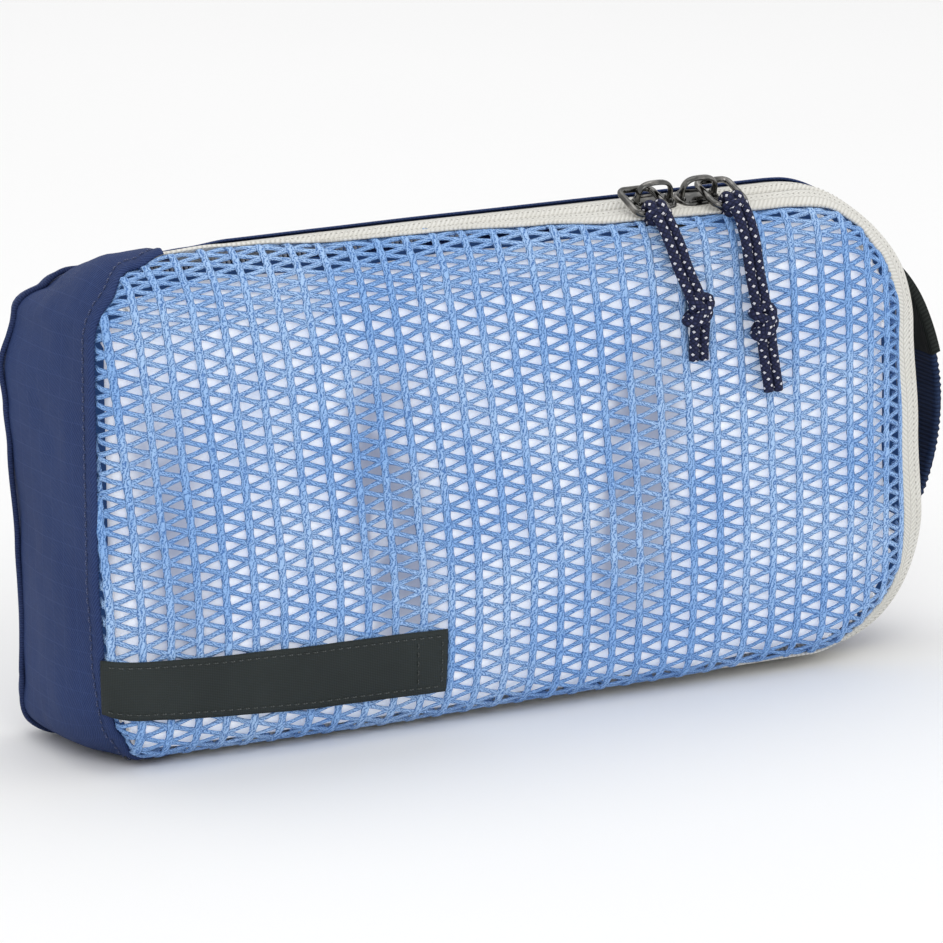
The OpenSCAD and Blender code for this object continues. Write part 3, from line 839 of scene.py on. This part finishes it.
def make_knot(name, centre, lean, seed):
    """Overhand knot in both strands: two turns side by side climb round the cord and cross in front."""
    rng = np.random.default_rng(seed)
    parts = []
    for k, (z0, phase) in enumerate(((-1.7, 0.2), (1.2, 0.0))):
        a = np.linspace(0, 2 * math.pi, 34) + phase
        tilt = 1.5 if k == 0 else -1.3
        ring = np.stack([(2.75 + 0.15 * np.sin(2 * a)) * np.cos(a), 2.35 * np.sin(a),
                         z0 + tilt * np.cos(a) + 0.45 * np.sin(a)], 1)
        parts.append(tube_arrays(ring + centre, 2.5, 2.5, 12))
    a = np.linspace(-0.5, math.pi + 0.3, 22)
    cross = np.stack([2.3 * np.cos(a), -2.9 * np.clip(np.sin(a), -0.4, 1) * 0.95 - 0.2,
                      2.9 * np.cos(a) * 0.9 + 0.1], 1)
    parts.append(tube_arrays(cross + centre, 2.4, 2.4, 12))
    top = np.stack([np.linspace(-2.3, 2.3, 12), -0.8 + 0.0 * np.linspace(0, 1, 12),
                    3.1 + 0.5 * np.cos(np.linspace(-1.4, 1.4, 12))], 1)
    parts.append(tube_arrays(top + centre, 2.4, 2.4, 12))
    verts, faces, uv = join_arrays(parts)
    turn = Matrix.Rotation(math.radians(lean), 3, "Y")
    verts = (verts - centre) @ np.array(turn).T + centre + rng.uniform(-0.05, 0.05, (1, 3))
    return build(name, verts, faces, CORD, uv)


def make_pull(side, x, hand, route, inner, knot_at, lean, seed):
    middle = resample(route, 0.62)
    hitch = make_hitch(f"{side}_hitch_loops", x, hand)
    knot = make_knot(f"{side}_overhand_knot", np.array(knot_at), lean, seed)
    belongs(hitch, f"{side}_cord", f"{side}_hitch")
    belongs(knot, f"{side}_cord", f"{side}_knot")
    for which, sign in (("inner", inner), ("outer", -inner)):
        wave = 0.16 * np.sin(np.linspace(0, 5, len(middle)) + sign)
        path = middle + np.stack([np.full(len(middle), sign * STRAND) + wave * 0.5, wave,
                                  np.zeros(len(middle))], 1)
        verts, faces, uv = tube_arrays(path, CORD_D, CORD_D, 12)
        cord = build(f"{side}_strand_{which}", verts, faces, CORD, uv)
        belongs(cord, f"{side}_cord", f"{side}_cord_{which}")


make_pull("left", LEFT_X, -1, LEFT_ROUTE, 1, (45.4, -31.6, 100.5), 12, 3)
make_pull("right", RIGHT_X, 1, RIGHT_ROUTE, -1, (64.5, -31.6, 95.7), -8, 5)


# ---------------------------------------------------------------- knitted mesh
WALE, ROW = 7.8, 4.6
FIRST_WALE, WALES = -125.0, 34


def runs_of(mask):
    """Start and stop of each run of true values."""
    edge = np.flatnonzero(np.diff(np.concatenate([[0], mask.astype(int), [0]])))
    return zip(edge[::2], edge[1::2])


def lean(u, v):
    """The cloth is sewn in a little askew: its wales lean towards the plain end as they rise."""
    share = 1 - 0.8 * np.clip((u + 10) / 100, 0, 1)
    rise = np.clip((v - 34) / 60, 0, 1.3)
    return -8.0 * share * rise * rise / (0.35 + rise)


def gathered(u, v):
    """The net is drawn in as it turns over its top and round its nose, so rows and wales close up."""
    v = v - 0.30 * np.maximum(v - 110, 0)
    return u - 0.28 * np.maximum(u - 96, 0), v


def tuck(left):
    """How far the net dips as it passes under the tape or the woven end."""
    t = np.clip((1.9 - left) / 2.2, 0, 1)
    return (1.7 * t * t * (3 - 2 * t))[..., None]


def knit():
    """The net as real strands: wales up the front, and strands that zigzag between neighbours."""
    parts = []
    wales = FIRST_WALE + WALE * np.arange(WALES)
    for i, u0 in enumerate(wales):
        v = np.arange(-22, 160, ROW / 4)
        u = u0 + 0.10 * noise(v, v * 0 + i * 3.0, 7, 21) + lean(u0, v)
        phase = (v / ROW - (i % 2) / 2) * 2 * math.pi
        u, v_at = gathered(u, v)
        p, left = front(u, v_at)
        n = front_normal(u, v_at)
        p = p - n * tuck(left)
        wide = 2.4 + 0.4 * np.cos(phase)
        for a, b in runs_of(left > -1.0):
            if b - a > 3:
                parts.append(tube_arrays(p[a:b] + n[a:b] * 0.12, wide[a:b], 0.95, 6, n[a:b], False, v[a]))
    steps = 5
    for i, u0 in enumerate(wales[:-1]):
        k = np.arange(int(-22 / ROW), int(162 / ROW) + 1)
        v0 = k * ROW + (i % 2) * ROW / 2
        t = np.arange(steps) / steps
        ease = t * 0.62 + (t * t * (3 - 2 * t)) * 0.38
        u_up, v_up = u0 + WALE * t, ease * ROW / 2
        u_back, v_back = u0 + WALE * (1 - t), ROW / 2 + ease * ROW / 2
        u = np.concatenate([np.concatenate([u_up, u_back])] * len(v0))
        v = (v0[:, None] + np.concatenate([v_up, v_back])[None, :]).ravel()
        jit = noise(u, v, 3.1, 31 + i) * 0.10
        u = u + lean(u, v)
        u, v = gathered(u, v + jit)
        p, left = front(u, v)
        n = front_normal(u, v)
        p = p - n * tuck(left)
        share = np.tile(np.concatenate([t, t]), len(v0))
        arch = np.sin(share * math.pi)
        wide = 3.0 - 1.7 * np.minimum(arch * 1.5, 1)
        lift = 0.10 * arch - 0.12
        v_len = np.arange(len(u)) * 1.62
        for a, b in runs_of(left > -1.2):
            if b - a > 3:
                parts.append(tube_arrays(p[a:b] + n[a:b] * lift[a:b, None], wide[a:b], 0.72, 6, n[a:b],
                                         False, v_len[a]))
    return joined("knitted_mesh", parts, YARN)


belongs(knit(), "mesh_front", "mesh_panel")


# ---------------------------------------------------------------- tissue filler
def filler():
    """Crumpled tissue that fills the cube behind the mesh, with a few deep upright folds."""
    u, v = np.meshgrid(np.linspace(-122, 116, 190), np.linspace(-8, 134, 116), indexing="ij")
    s, n = flat_to_outline(u, v)
    room = edge_length(s) - (n + CORE)
    keep = along([(0, 9), (35, 8), (94, 5), (135, 2.5), (190, 2), (220, 4), (252, 5.5), (300, 5.5),
                  (330, 3), (359, 1), (500, 1), (549, 1), (578, 2.5), (667, 2.5), (682, 5)])(s)[0]
    # pull the points that lie past the filler's own edge back on to it
    over = np.maximum(keep - room, 0)
    _, _, nx, nz = outline(s)
    u, v = u - nx * over, v - nz * over
    p, _ = front(u, v)
    nrm = front_normal(u, v)
    deep = 1.05 + 4.6 * np.exp(-((u + 41 + 0.12 * (v - 63)) / 4.5) ** 2) * np.exp(-((v - 52) / 30) ** 2)
    deep += 4.6 * np.exp(-((u - 30 - 0.1 * (v - 50)) / 5) ** 2) * np.exp(-((v - 50) / 27) ** 2)
    deep += 4.4 * np.exp(-((u + 101 + 0.15 * (v - 76)) / 6) ** 2) * np.exp(-((v - 74) / 20) ** 2)
    deep += 2.2 * np.exp(-((u + 82 - 0.25 * (v - 80)) / 3.5) ** 2) * np.exp(-((v - 84) / 15) ** 2)
    deep += 0.5 * np.abs(noise(u, v * 0.7, 15, 41)) + 0.35 * np.abs(noise(u, v, 6, 42))
    edge = np.exp(-np.maximum(room - keep, 0) / 1.8)
    deep = np.maximum(deep, 0.95) + edge * 2.0
    p = p - nrm * deep[..., None]
    uv = np.stack([u, v], -1)
    return skin("tissue_wad", p, uv, 1.6, TISSUE)


wad = belongs(filler(), "mesh_front", "tissue_filler")


# ---------------------------------------------------------------- woven shell
CLOTH_T = 0.9


def columns(s, ns, ys):
    """The grid of points at s (rows), with n and y by row and column."""
    return np.stack([place(s, ns[:, j], ys[:, j]) for j in range(ns.shape[1])], 1)


def band(s, profile, wrinkle):
    """A grid over s (rows) and a profile function of s that gives n and y, with its uv in mm."""
    p = columns(s, *profile(s))
    wide = across(p)
    uv = np.stack([np.broadcast_to(s[:, None], wide.shape), wide], -1)
    _, _, nx, nz = outline(s)
    out = np.stack([nx, nx * 0, nz], -1)[:, None]
    return p + out * wrinkle(uv[..., 0], p[..., 1])[..., None], uv


def smooth_profile(points, count):
    """An even run of count points through a list of (n, y) arrays, one row for each s."""
    pts = np.stack([np.stack(q, -1) for q in points], 1)
    out = []
    for row in pts:
        fine = spline(row, 10)
        d = run_length(fine)
        out.append(pick(np.linspace(0, d[-1], count), d, fine))
    out = np.array(out)
    return out[..., 0], out[..., 1]


def cloth_wave(s, y, front_seam=-22):
    """Soft buckles of thin woven cloth, quiet at its seams."""
    quiet = np.clip((y - front_seam) / 9, 0, 1) * np.clip((25 - y) / 7, 0, 1)
    return quiet * (0.75 * noise(s, y, 24, 51) + 0.42 * noise(s, y * 1.4, 9, 52))


def mix_line(a, b, t):
    return a[0] * (1 - t) + b[0] * t, a[1] * (1 - t) + b[1] * t


def rounding(s):
    """The knee of the rounding to the back, and its end at the back."""
    end, corner = round_line(s), back_line(s)
    return (end[0] * 0.62 + corner[0] * 0.38 + 1.3, end[1] + 7.6), corner


def gusset_profile(s):
    start, end = tape_back_line(s), round_line(s)
    start = (start[0] - 0.9, start[1] - 1.2)
    rise = mix_line(start, end, 0.45)
    rise = (rise[0] + 0.35, rise[1])
    return smooth_profile([start, rise, end, *rounding(s)], 26)


def end_profile(s):
    seam, end = edge_line(s), round_line(s)
    lip = (seam[0] + 0.35, seam[1] + 0.1)
    # the cloth stands up in a crest over the upper corner
    t = np.mod(s + 40, TOTAL)
    crest = np.interp(t, [0, 12, 30, 44, 52, TOTAL], [0, 0, 1.5, 1.7, 1.2, 0]) * (t < 60)
    wall0 = (seam[0] * 0.25 + end[0] * 0.15 - 0.1 + crest, seam[1] * 0.72 + 17 * 0.28)
    wall1 = (end[0] * 0.5 + 0.35 + crest * 0.4, np.full_like(end[1], 2.0))
    return smooth_profile([lip, wall0, wall1, end, *rounding(s)], 34)


for name, node, s0, s1 in (("top_gusset_cloth", "top_gusset", TOP_END - 3, 190),
                           ("nose_gusset_cloth", "nose_gusset", 190, STARTS[4]),
                           ("bottom_gusset_cloth", "bottom_gusset", STARTS[4], LOW_END + 3)):
    p, uv = band(np.linspace(s0, s1, int((s1 - s0) / 2) + 1), gusset_profile,
                 lambda s, y: cloth_wave(s, y, -3))
    belongs(skin(name, p, uv, CLOTH_T, WOVEN, inner=GLOWING_LINING), "case", node)

p, uv = band(np.linspace(LOW_END, TOTAL + TOP_END, 100), end_profile, cloth_wave)
belongs(skin("end_cloth", p, uv, CLOTH_T, WOVEN, inner=GLOWING_LINING), "case", "end_panel")


def back_cloth():
    """The woven back: rings of the back line drawn in to the middle, a little crowned."""
    s = np.linspace(0, TOTAL, 260)
    n, y = back_line(s)
    rim = place(s, n, y)
    middle = np.array([0, BACK, TOP / 2])
    share = 1 - np.linspace(0, 1, 30)[None, :, None] * 0.9998
    p = middle + (rim[:, None] - middle) * share
    share = share[..., 0]
    p[..., 1] = BACK + 0.4 * (1 - share ** 4) \
        + 0.45 * noise(p[..., 0], p[..., 2], 30, 61) * (1 - share ** 6)
    uv = np.stack([p[..., 0], p[..., 2]], -1)
    return skin("back_cloth", p, uv, CLOTH_T, WOVEN, inner=GLOWING_LINING)


belongs(back_cloth(), "case", "back_panel")


THREAD = 0.34


def stitches(name, path, normals, pitch, length, size, material, body, node=None, lift=0.12):
    """A row of sewn stitches: short rounded lengths of thread laid along a path."""
    d = run_length(path)
    parts = []
    for at in np.arange(pitch * 0.5, d[-1] - length, pitch):
        t = at + np.linspace(0, length, 6)
        q = pick(t, d, path)
        n = unit(pick(t, d, normals))
        arch = np.array([-0.5, 0.6, 1, 1, 0.6, -0.5])[:, None] * size * 0.5
        wide = size * np.array([0.5, 0.9, 1, 1, 0.9, 0.5])
        parts.append(tube_arrays(q + n * (arch + lift), wide, wide, 6, n))
    belongs(joined(name, parts, material), body, node)


# Turned edge of the end panel along the mesh seam, and its topstitching
def end_surface_at(s, arc):
    """n and y of the end cloth at arc lengths in from its seam."""
    ns, ys = end_profile(s)
    d = summed(np.hypot(np.diff(ns, axis=1), np.diff(ys, axis=1)))
    return [np.stack([np.interp(arc, d[i], a[i]) for i in range(len(s))]) for a in (ns, ys)]


arc = np.array([-0.9, -0.2, 0.3, 1.0, 1.8, 2.5, 2.8, 3.0])
lift = np.array([-0.5, 0.15, 0.5, 0.58, 0.55, 0.45, 0.25, -0.25])
fs = np.linspace(LOW_END, TOTAL + TOP_END, 260)
fold = columns(fs, *end_surface_at(fs, np.maximum(arc, 0)))
lead = unit(fold[:, 3] - fold[:, 5])
fold += lead[:, None] * np.maximum(-arc, 0)[None, :, None]
fold_n = grid_normals(fold)
# a point well inside the case tells which way is out
fold_n *= np.sign(np.sum(fold_n * (fold - np.array([-60, 0, TOP / 2])), -1, keepdims=True))
pucker = 0.10 * np.sin(fs * 2 * math.pi / 4.4)[:, None]
fold = fold + fold_n * (lift[None, :] + pucker * (lift[None, :] > 0.2))[..., None]
belongs(skin("end_fold_cloth", fold, grid_uv(fs, arc), 0.35, WOVEN), "case", "end_seam_fold")
stitches("end_topstitch", fold[:, 5], fold_n[:, 5], 2.4, 1.7, THREAD, NAVY_THREAD, "case")


# Binding over the raw seam inside the back edge, and a felled seam line outside it
s = np.linspace(0, TOTAL, 360)
ys = np.linspace(14.5, 21.5, 9)
base, _ = round_line(s)
crown = np.sin(np.linspace(0, math.pi, 9)) * 0.35
p = np.stack([place(s, base - 1.7 - crown[j] - max(0, y - 17) ** 2 * 0.030, y)
              for j, y in enumerate(ys)], 1)
belongs(skin("binding_cloth", p, grid_uv(s, ys), 0.7, BINDING, flip=True), "case",
        "back_binding")

ss = np.linspace(0, TOTAL, 700)
rn, ry = round_line(ss)
seam_path = place(ss, rn + 0.35, ry + 1.2)
# the ridge rests on the floor and doesn't go into it
RIDGE = 1.5
seam_path[:, 2] = np.maximum(seam_path[:, 2], RIDGE / 2 + 0.01)
verts, faces, uv = tube_arrays(seam_path, RIDGE, RIDGE, 8)
belongs(build("back_seam_ridge", verts, faces, BINDING, uv), "case")


# ---------------------------------------------------------------- zip tape and coils
def tape_half(side):
    """Front half (-1) or back half (1) of the tape, with its uv v measured from the coil line."""
    s = np.linspace(TOP_END - 5, LOW_END + 5, 460)
    z_n, z_y = coil_line(s)
    if side < 0:
        o_n, o_y = edge_line(s)
        reach = np.hypot(z_n - o_n, z_y - o_y)
        d_n, d_y = (o_n - z_n) / reach, (o_y - z_y) / reach
        end = (o_n + 0.25, o_y - 0.1)
        mid = (z_n + d_n * reach * 0.5 + 0.15, z_y + d_y * reach * 0.5)
    else:
        o_n, o_y = tape_back_line(s)
        end = (o_n - 1.0, o_y + 0.8)
        mid = (z_n * 0.5 + o_n * 0.5 + 0.12, z_y * 0.5 + o_y * 0.5)
    near = (z_n, z_y + side * 0.12)
    ns, ys = smooth_profile([near, mid, end], 11)
    groove = np.zeros(11)
    groove[0] = -0.42
    ns = ns + groove[None, :]
    p = columns(s, ns, ys)
    d = across(p)
    uv = np.stack([np.broadcast_to(s[:, None], d.shape), d * side], -1)
    if side < 0:
        return p[:, ::-1], uv[:, ::-1]
    return p, uv


def coil_half(side):
    """Nylon coil sewn inside one half: a flattened spiral of its real pitch."""
    s = np.arange(TOP_END - 4, LOW_END + 4, 1.3 / 9)
    z_n, z_y = coil_line(s)
    o_n, o_y = edge_line(s) if side < 0 else tape_back_line(s)
    d_n, d_y = o_n - z_n, o_y - z_y
    # along the top the front coil keeps to the sliders' slope, though the tape over it climbs
    if side < 0:
        d_n = np.where(s < 150, -0.28 * np.abs(d_y), d_n)
    size = np.hypot(d_n, d_y)
    d_n, d_y = d_n / size, d_y / size
    i_n, i_y = -np.abs(d_y), d_n * np.sign(d_y)
    a = np.arange(len(s)) / 9 * 2 * math.pi
    out, deep = 1.45 + 1.15 * np.cos(a), 1.75 + 0.72 * np.sin(a)
    path = place(s, z_n + d_n * out + i_n * deep, z_y + d_y * out + i_y * deep)
    return tube_arrays(path, 0.55, 0.55, 5)


for side, body, tape_name, node, coil_name, coil_node in (
        (-1, "mesh_front", "front_tape_weave", "front_tape", "front_coil_spiral", "front_coil"),
        (1, "case", "back_tape_weave", "back_tape", "back_coil_spiral", "back_coil")):
    p, uv = tape_half(side)
    belongs(skin(tape_name, p, uv, 0.75, TAPE), body, node)
    verts, faces, uv = coil_half(side)
    belongs(build(coil_name, verts, faces, COIL, uv), body, coil_node)
    # the row of stitches that holds the coil to this half
    col = 7 if side < 0 else 3
    n = grid_normals(p)
    stitches(f"{tape_name}_stitch", p[4:-4, col], n[4:-4, col], 1.55, 0.75, 0.3, PALE_THREAD, body,
             lift=-0.12)

# Edge of the gusset turned over the back half of the tape
gs = np.linspace(TOP_END - 3, LOW_END + 3, 420)
tn, ty = tape_back_line(gs)
cols = np.array([-0.35, 0.0, 0.6, 1.4, 2.0])
rise = np.array([-0.15, 0.22, 0.26, 0.2, -0.35])
g_end = round_line(gs)
slope_n = (g_end[0] - tn) / (g_end[1] - ty)
p = np.stack([place(gs, tn + slope_n * c + r, ty + c) for c, r in zip(cols, rise)], 1)
belongs(skin("gusset_lip_cloth", p, grid_uv(gs, cols), 0.4, WOVEN), "case")

# Bar tacks that close the ends of the zip, under the woven end
parts = []
for s_at in (TOP_END + 0.6, LOW_END - 0.6):
    for k in range(9):
        s = np.full(7, s_at) + (k - 4) * 0.26
        z_n, z_y = coil_line(s)
        y = z_y + np.linspace(-3.2, 3.2, 7)
        path = place(s, z_n + 0.22 + 0.10 * np.cos(np.linspace(-1.5, 1.5, 7)), y)
        parts.append(tube_arrays(path, 0.3, 0.3, 6))
belongs(joined("zip_tack_threads", parts, NAVY_THREAD), "case", "zip_bartacks")


# ---------------------------------------------------------------- label
def label_surface(u, v):
    """Points on the label's face, and their normals."""
    n = front_normal(u, v)
    wave = 0.35 * noise(u, v * 0.4, 17, 71)
    return front(u, v)[0] + n * (1.35 + wave[..., None]), n


LABEL_U = np.linspace(-119.4, -25.3, 130)
bend = np.clip((-62 - LABEL_U) / 56, 0, 1) ** 1.25
LABEL_LOW = 11.0 + 4.6 * bend + 0.25 * np.sin(LABEL_U / 13)
LABEL_HIGH = LABEL_LOW + 16.0 - 1.7 * bend
t = np.linspace(0, 1, 16)[None, :]
u = np.broadcast_to(LABEL_U[:, None], (len(LABEL_U), 16))
p, _ = label_surface(u, LABEL_LOW[:, None] * (1 - t) + LABEL_HIGH[:, None] * t)
uv = np.stack([u, (LABEL_HIGH - LABEL_LOW)[:, None] * t], -1)
belongs(skin("woven_label", p, uv, 0.6, LABEL), "mesh_front", "label_tab")

# Its stitches: both long edges, the end, and a second row in from the end
for name, node, u, share in (
        ("label_thread", "label_stitching", np.linspace(-118.5, -26.6, 120), np.full(120, 0.10)),
        ("label_thread_2", None, np.linspace(-118.5, -26.6, 120), np.full(120, 0.90)),
        ("label_thread_3", None, np.full(30, -26.8), np.linspace(0.1, 0.9, 30)),
        ("label_thread_4", None, np.full(30, -33.4), np.linspace(0.1, 0.9, 30))):
    low, high = (np.interp(u, LABEL_U, edge) for edge in (LABEL_LOW, LABEL_HIGH))
    path, n = label_surface(u, low * (1 - share) + high * share)
    stitches(name, path, n, 2.3, 1.5, THREAD, BLACK_THREAD, "mesh_front", node, 0.0)


# ---------------------------------------------------------------- sliders and rings
def plate_arrays(outline_xy, z0, z1, bevel):
    """A plate with rounded edges: rings of an outline, drawn in by the bevel at its top and bottom."""
    o = np.asarray(outline_xy, float)
    tangent = unit(np.roll(o, -1, 0) - np.roll(o, 1, 0))
    out = np.stack([tangent[:, 1], -tangent[:, 0]], 1)
    rings = [(z0 + bevel * (1 - math.sin(k)), bevel * (1 - math.cos(k)))
             for k in np.linspace(0, math.pi / 2, 5)]
    rings = rings[::-1] + [(z1 - (z - z0), inset) for z, inset in rings]
    m = len(o)
    verts = np.concatenate([np.concatenate([o - out * inset, np.full((m, 1), z)], 1) for z, inset in rings])
    j = np.arange(m)
    k = (j + 1) % m
    quads = np.concatenate([np.stack([r * m + j, r * m + k, (r + 1) * m + k, (r + 1) * m + j], 1)
                            for r in range(len(rings) - 1)])
    ends = np.array([[*o.mean(0), rings[i][0]] for i in (0, -1)])
    n = len(verts)
    base = (len(rings) - 1) * m
    tris = np.concatenate([np.stack([k, j, np.full(m, n)], 1),
                           np.stack([base + j, base + k, np.full(m, n + 1)], 1)])
    return np.concatenate([verts, ends]), [quads, tris]


def slider_outline(length, wide, narrow, hand):
    """Round-shouldered slider outline, narrower at the closed end of the zip."""
    a = np.linspace(0, 2 * math.pi, 72, endpoint=False)
    x = length / 2 * np.sign(np.cos(a)) * np.abs(np.cos(a)) ** 0.72
    share = (x * -hand / length) + 0.5
    half = (narrow + (wide - narrow) * share * share * (3 - 2 * share)) / 2
    y = half * np.sign(np.sin(a)) * np.abs(np.sin(a)) ** 0.62
    return np.stack([x, y], 1)


def plain_uv(faces):
    return np.zeros((sum(f.size for f in faces), 2))


def make_slider(side, x, hand):
    parts = []

    def add(verts, faces, *_):
        parts.append((verts, faces, plain_uv(faces)))

    for z0, z1, wide, narrow, bevel in ((0.45, PLATE_TOP, 8.6, 6.4, 0.55), (-5.65, -4.55, 7.8, 5.8, 0.4)):
        add(*plate_arrays(slider_outline(12, wide, narrow, hand), z0, z1, bevel))
    # raised rim along both long sides of the top plate, and the pads the crown stands on
    for y in (-1, 1):
        t = np.linspace(-4.0, 4.0, 16)
        path = np.stack([t, y * (3.3 - 0.055 * (t * hand + 4)) - y * 0.25, np.full(16, PLATE_TOP)], 1)
        add(*tube_arrays(path, 0.8, 0.5, 8))
    for xx in (-4.7, 4.7):
        t = np.linspace(-1.7, 1.7, 8)
        path = np.stack([np.full(8, xx), t, np.full(8, 1.9)], 1)
        add(*tube_arrays(path, 1.9, 0.9, 10))
    post = np.array([[0, 0, -4.7], [0, 0, -2], [0, 0, 0.6]]) + np.array([-hand * 3.0, 0, 0])
    add(*tube_arrays(post, 3.0, 1.2, 12, np.tile([0, 1.0, 0], (3, 1))))
    verts, faces, uv = join_arrays(parts)
    plates = build(f"{side}_slider_plates", slider_space(x, verts), faces, METAL, uv)
    belongs(plates, f"{side}_slider", f"{side}_slider")
    # crown: a rounded bar bent over from pad to pad
    pts = np.array([(-4.75, 1.9), (-4.75, 3.4), (-4.55, 5.0), (-3.7, 6.2), (-2.2, 6.85), (0, 7.0),
                    (2.2, 6.85), (3.7, 6.2), (4.55, 5.0), (4.75, 3.4), (4.75, 1.9)])
    path = resample(np.stack([pts[:, 0], pts[:, 0] * 0, pts[:, 1]], 1), 0.35)
    wide = 2.1 + 0.35 * np.abs(np.linspace(-1, 1, len(path))) ** 4
    tv, tf, tuv = tube_arrays(path, wide, 1.15, 14, np.stack([path[:, 0] * 0.5, path[:, 0] * 0,
                                                              path[:, 2] - 1.0], 1))
    crown = build(f"{side}_crown_bar", slider_space(x, tv), tf, METAL, tuv)
    belongs(crown, f"{side}_slider", f"{side}_crown")
    # ring: bent wire, a rounded rectangle
    h, r, l = RING["short"] / 2, RING["bend"], RING["long"]
    ring = []
    for cx, cy, a0 in ((h - r, -r, 90), (h - r, r - l, 0), (r - h, r - l, -90), (r - h, -r, -180)):
        for a in np.radians(np.linspace(a0, a0 - 90, 9)):
            ring.append((cx + r * math.cos(a), cy + r * math.sin(a), 0))
    ring = np.array(ring)
    ring = np.concatenate([ring, ring[:1]])
    d = run_length(ring)
    loop = pick(np.linspace(0, d[-1], 97)[:-1], d, ring)
    closed = np.concatenate([loop[-2:], loop, loop[:2]])
    tangent = unit(np.gradient(closed, axis=0))[2:-2]
    up = np.array([0, 0, 1.0])
    side_v = np.cross(tangent, up)
    a = np.arange(16) * 2 * math.pi / 16
    w = RING["wire"] / 2
    rings = loop[:, None] \
        + w * (np.cos(a)[None, :, None] * side_v[:, None] + np.sin(a)[None, :, None] * up)
    m, k = rings.shape[:2]
    i, j = np.arange(m)[:, None], np.arange(k)[None, :]
    i1, j1 = (i + 1) % m, (j + 1) % k
    quads = np.stack([q.ravel() for q in (i * k + j, i * k + j1, i1 * k + j1, i1 * k + j)], 1)
    wire = build(f"{side}_ring_wire", ring_space(x, hand, rings.reshape(-1, 3)), [quads], METAL,
                 np.zeros((quads.size, 2)))
    belongs(wire, f"{side}_ring", f"{side}_ring")


make_slider("left", LEFT_X, -1)
make_slider("right", RIGHT_X, 1)


# ---------------------------------------------------------------- grab handle
RIB = 1.7


def handle_path():
    """Middle of the strap, seen from the front: x and z, from its lower end up."""
    pts = np.array([(114.0, 24.5), (119.4, 27.0), (125.0, 32.5), (129.4, 41), (132.4, 51.5), (133.4, 63),
                    (132.1, 74), (129.0, 84), (124.8, 92.5), (119.0, 99.5), (112.5, 103.5)])
    return resample(np.stack([pts[:, 0], pts[:, 0] * 0 + 2.0, pts[:, 1]], 1), 0.9)


def outward(path):
    """Normals of the strap, which face away from a point inside its bow."""
    return frames(path, np.stack([path[:, 0] - 100, path[:, 0] * 0, path[:, 2] - TOP / 2], 1))[0]


def strap_layer(name, path, half, off, t, material, scallop=0.0):
    """A band swept along a path, with its flat face outward, and a small wave along both edges."""
    normal = outward(path)
    d = run_length(path)
    cols = np.linspace(-1, 1, 19)
    grid = []
    for c in cols:
        edge = half * c
        if abs(c) > 0.95:
            edge = edge + 0.22 * scallop * np.sin(d * 2 * math.pi / RIB) * np.sign(c)
        crown = 0.35 * (1 - c ** 2) + 0.25 * (abs(c) > 0.9)
        ribs = 0.12 * scallop * np.sin(d * 2 * math.pi / RIB)
        grid.append(path + normal * (off + crown + ribs)[:, None]
                    + np.stack([d * 0, d * 0 + edge, d * 0], 1))
    return skin(name, np.stack(grid, 1), grid_uv(d, half * cols), t, material, flip=True)


path = handle_path()
strap = strap_layer("handle_webbing", path, 9.6, 0.0, 1.5, WEBBING, 1.0)
belongs(strap, "case", "handle_strap")
cover_path = path[(path[:, 2] > 75.5) & (path[:, 0] > 119)]
cover = strap_layer("handle_wrap", cover_path, 10.4, 0.75, 2.6, BLACK_TAB)
belongs(cover, "case", "handle_cover")
wrap_n = outward(cover_path)
for i, y in enumerate((-8.6, 8.6)):
    stitches(f"handle_wrap_stitch_{i + 1}", cover_path + wrap_n * 0.9 + np.array([0, y, 0]), wrap_n,
             2.2, 1.5, THREAD, BLACK_THREAD, "case", lift=0.2)


# ---------------------------------------------------------------- floor and light
def make_stage():
    size = 6000
    verts = np.array([(-size, -size, 0), (size, -size, 0), (size, size, 0), (-size, size, 0)])
    floor = build("floor", verts, [np.array([[0, 1, 2, 3]])], FLOOR, np.zeros((4, 2)), smooth=False)
    world = bpy.data.worlds.new("studio")
    bpy.context.scene.world = world
    world.use_nodes = True
    sky = world.node_tree.nodes["Background"]
    sky.inputs["Color"].default_value = (1, 1, 1, 1)
    sky.inputs["Strength"].default_value = 0.86
    for name, place_m, aim, size_m, power in (
            ("key", (-0.7, -1.5, 1.3), (0, 0, 0.06), 1.0, 7.5),
            ("fill", (1.3, -1.0, 0.7), (0, 0, 0.06), 1.2, 2.0),
            ("top", (0.1, 0.5, 1.6), (0, 0, 0.06), 1.2, 4.5)):
        light = bpy.data.lights.new(name, "AREA")
        light.size, light.energy = size_m, power
        obj = bpy.data.objects.new(name, light)
        bpy.context.scene.collection.objects.link(obj)
        obj.location = place_m
        obj.rotation_mode = "QUATERNION"
        obj.rotation_quaternion = (Vector(aim) - Vector(place_m)).to_track_quat("-Z", "Y")
    bpy.context.scene.view_settings.view_transform = "Standard"


make_stage()
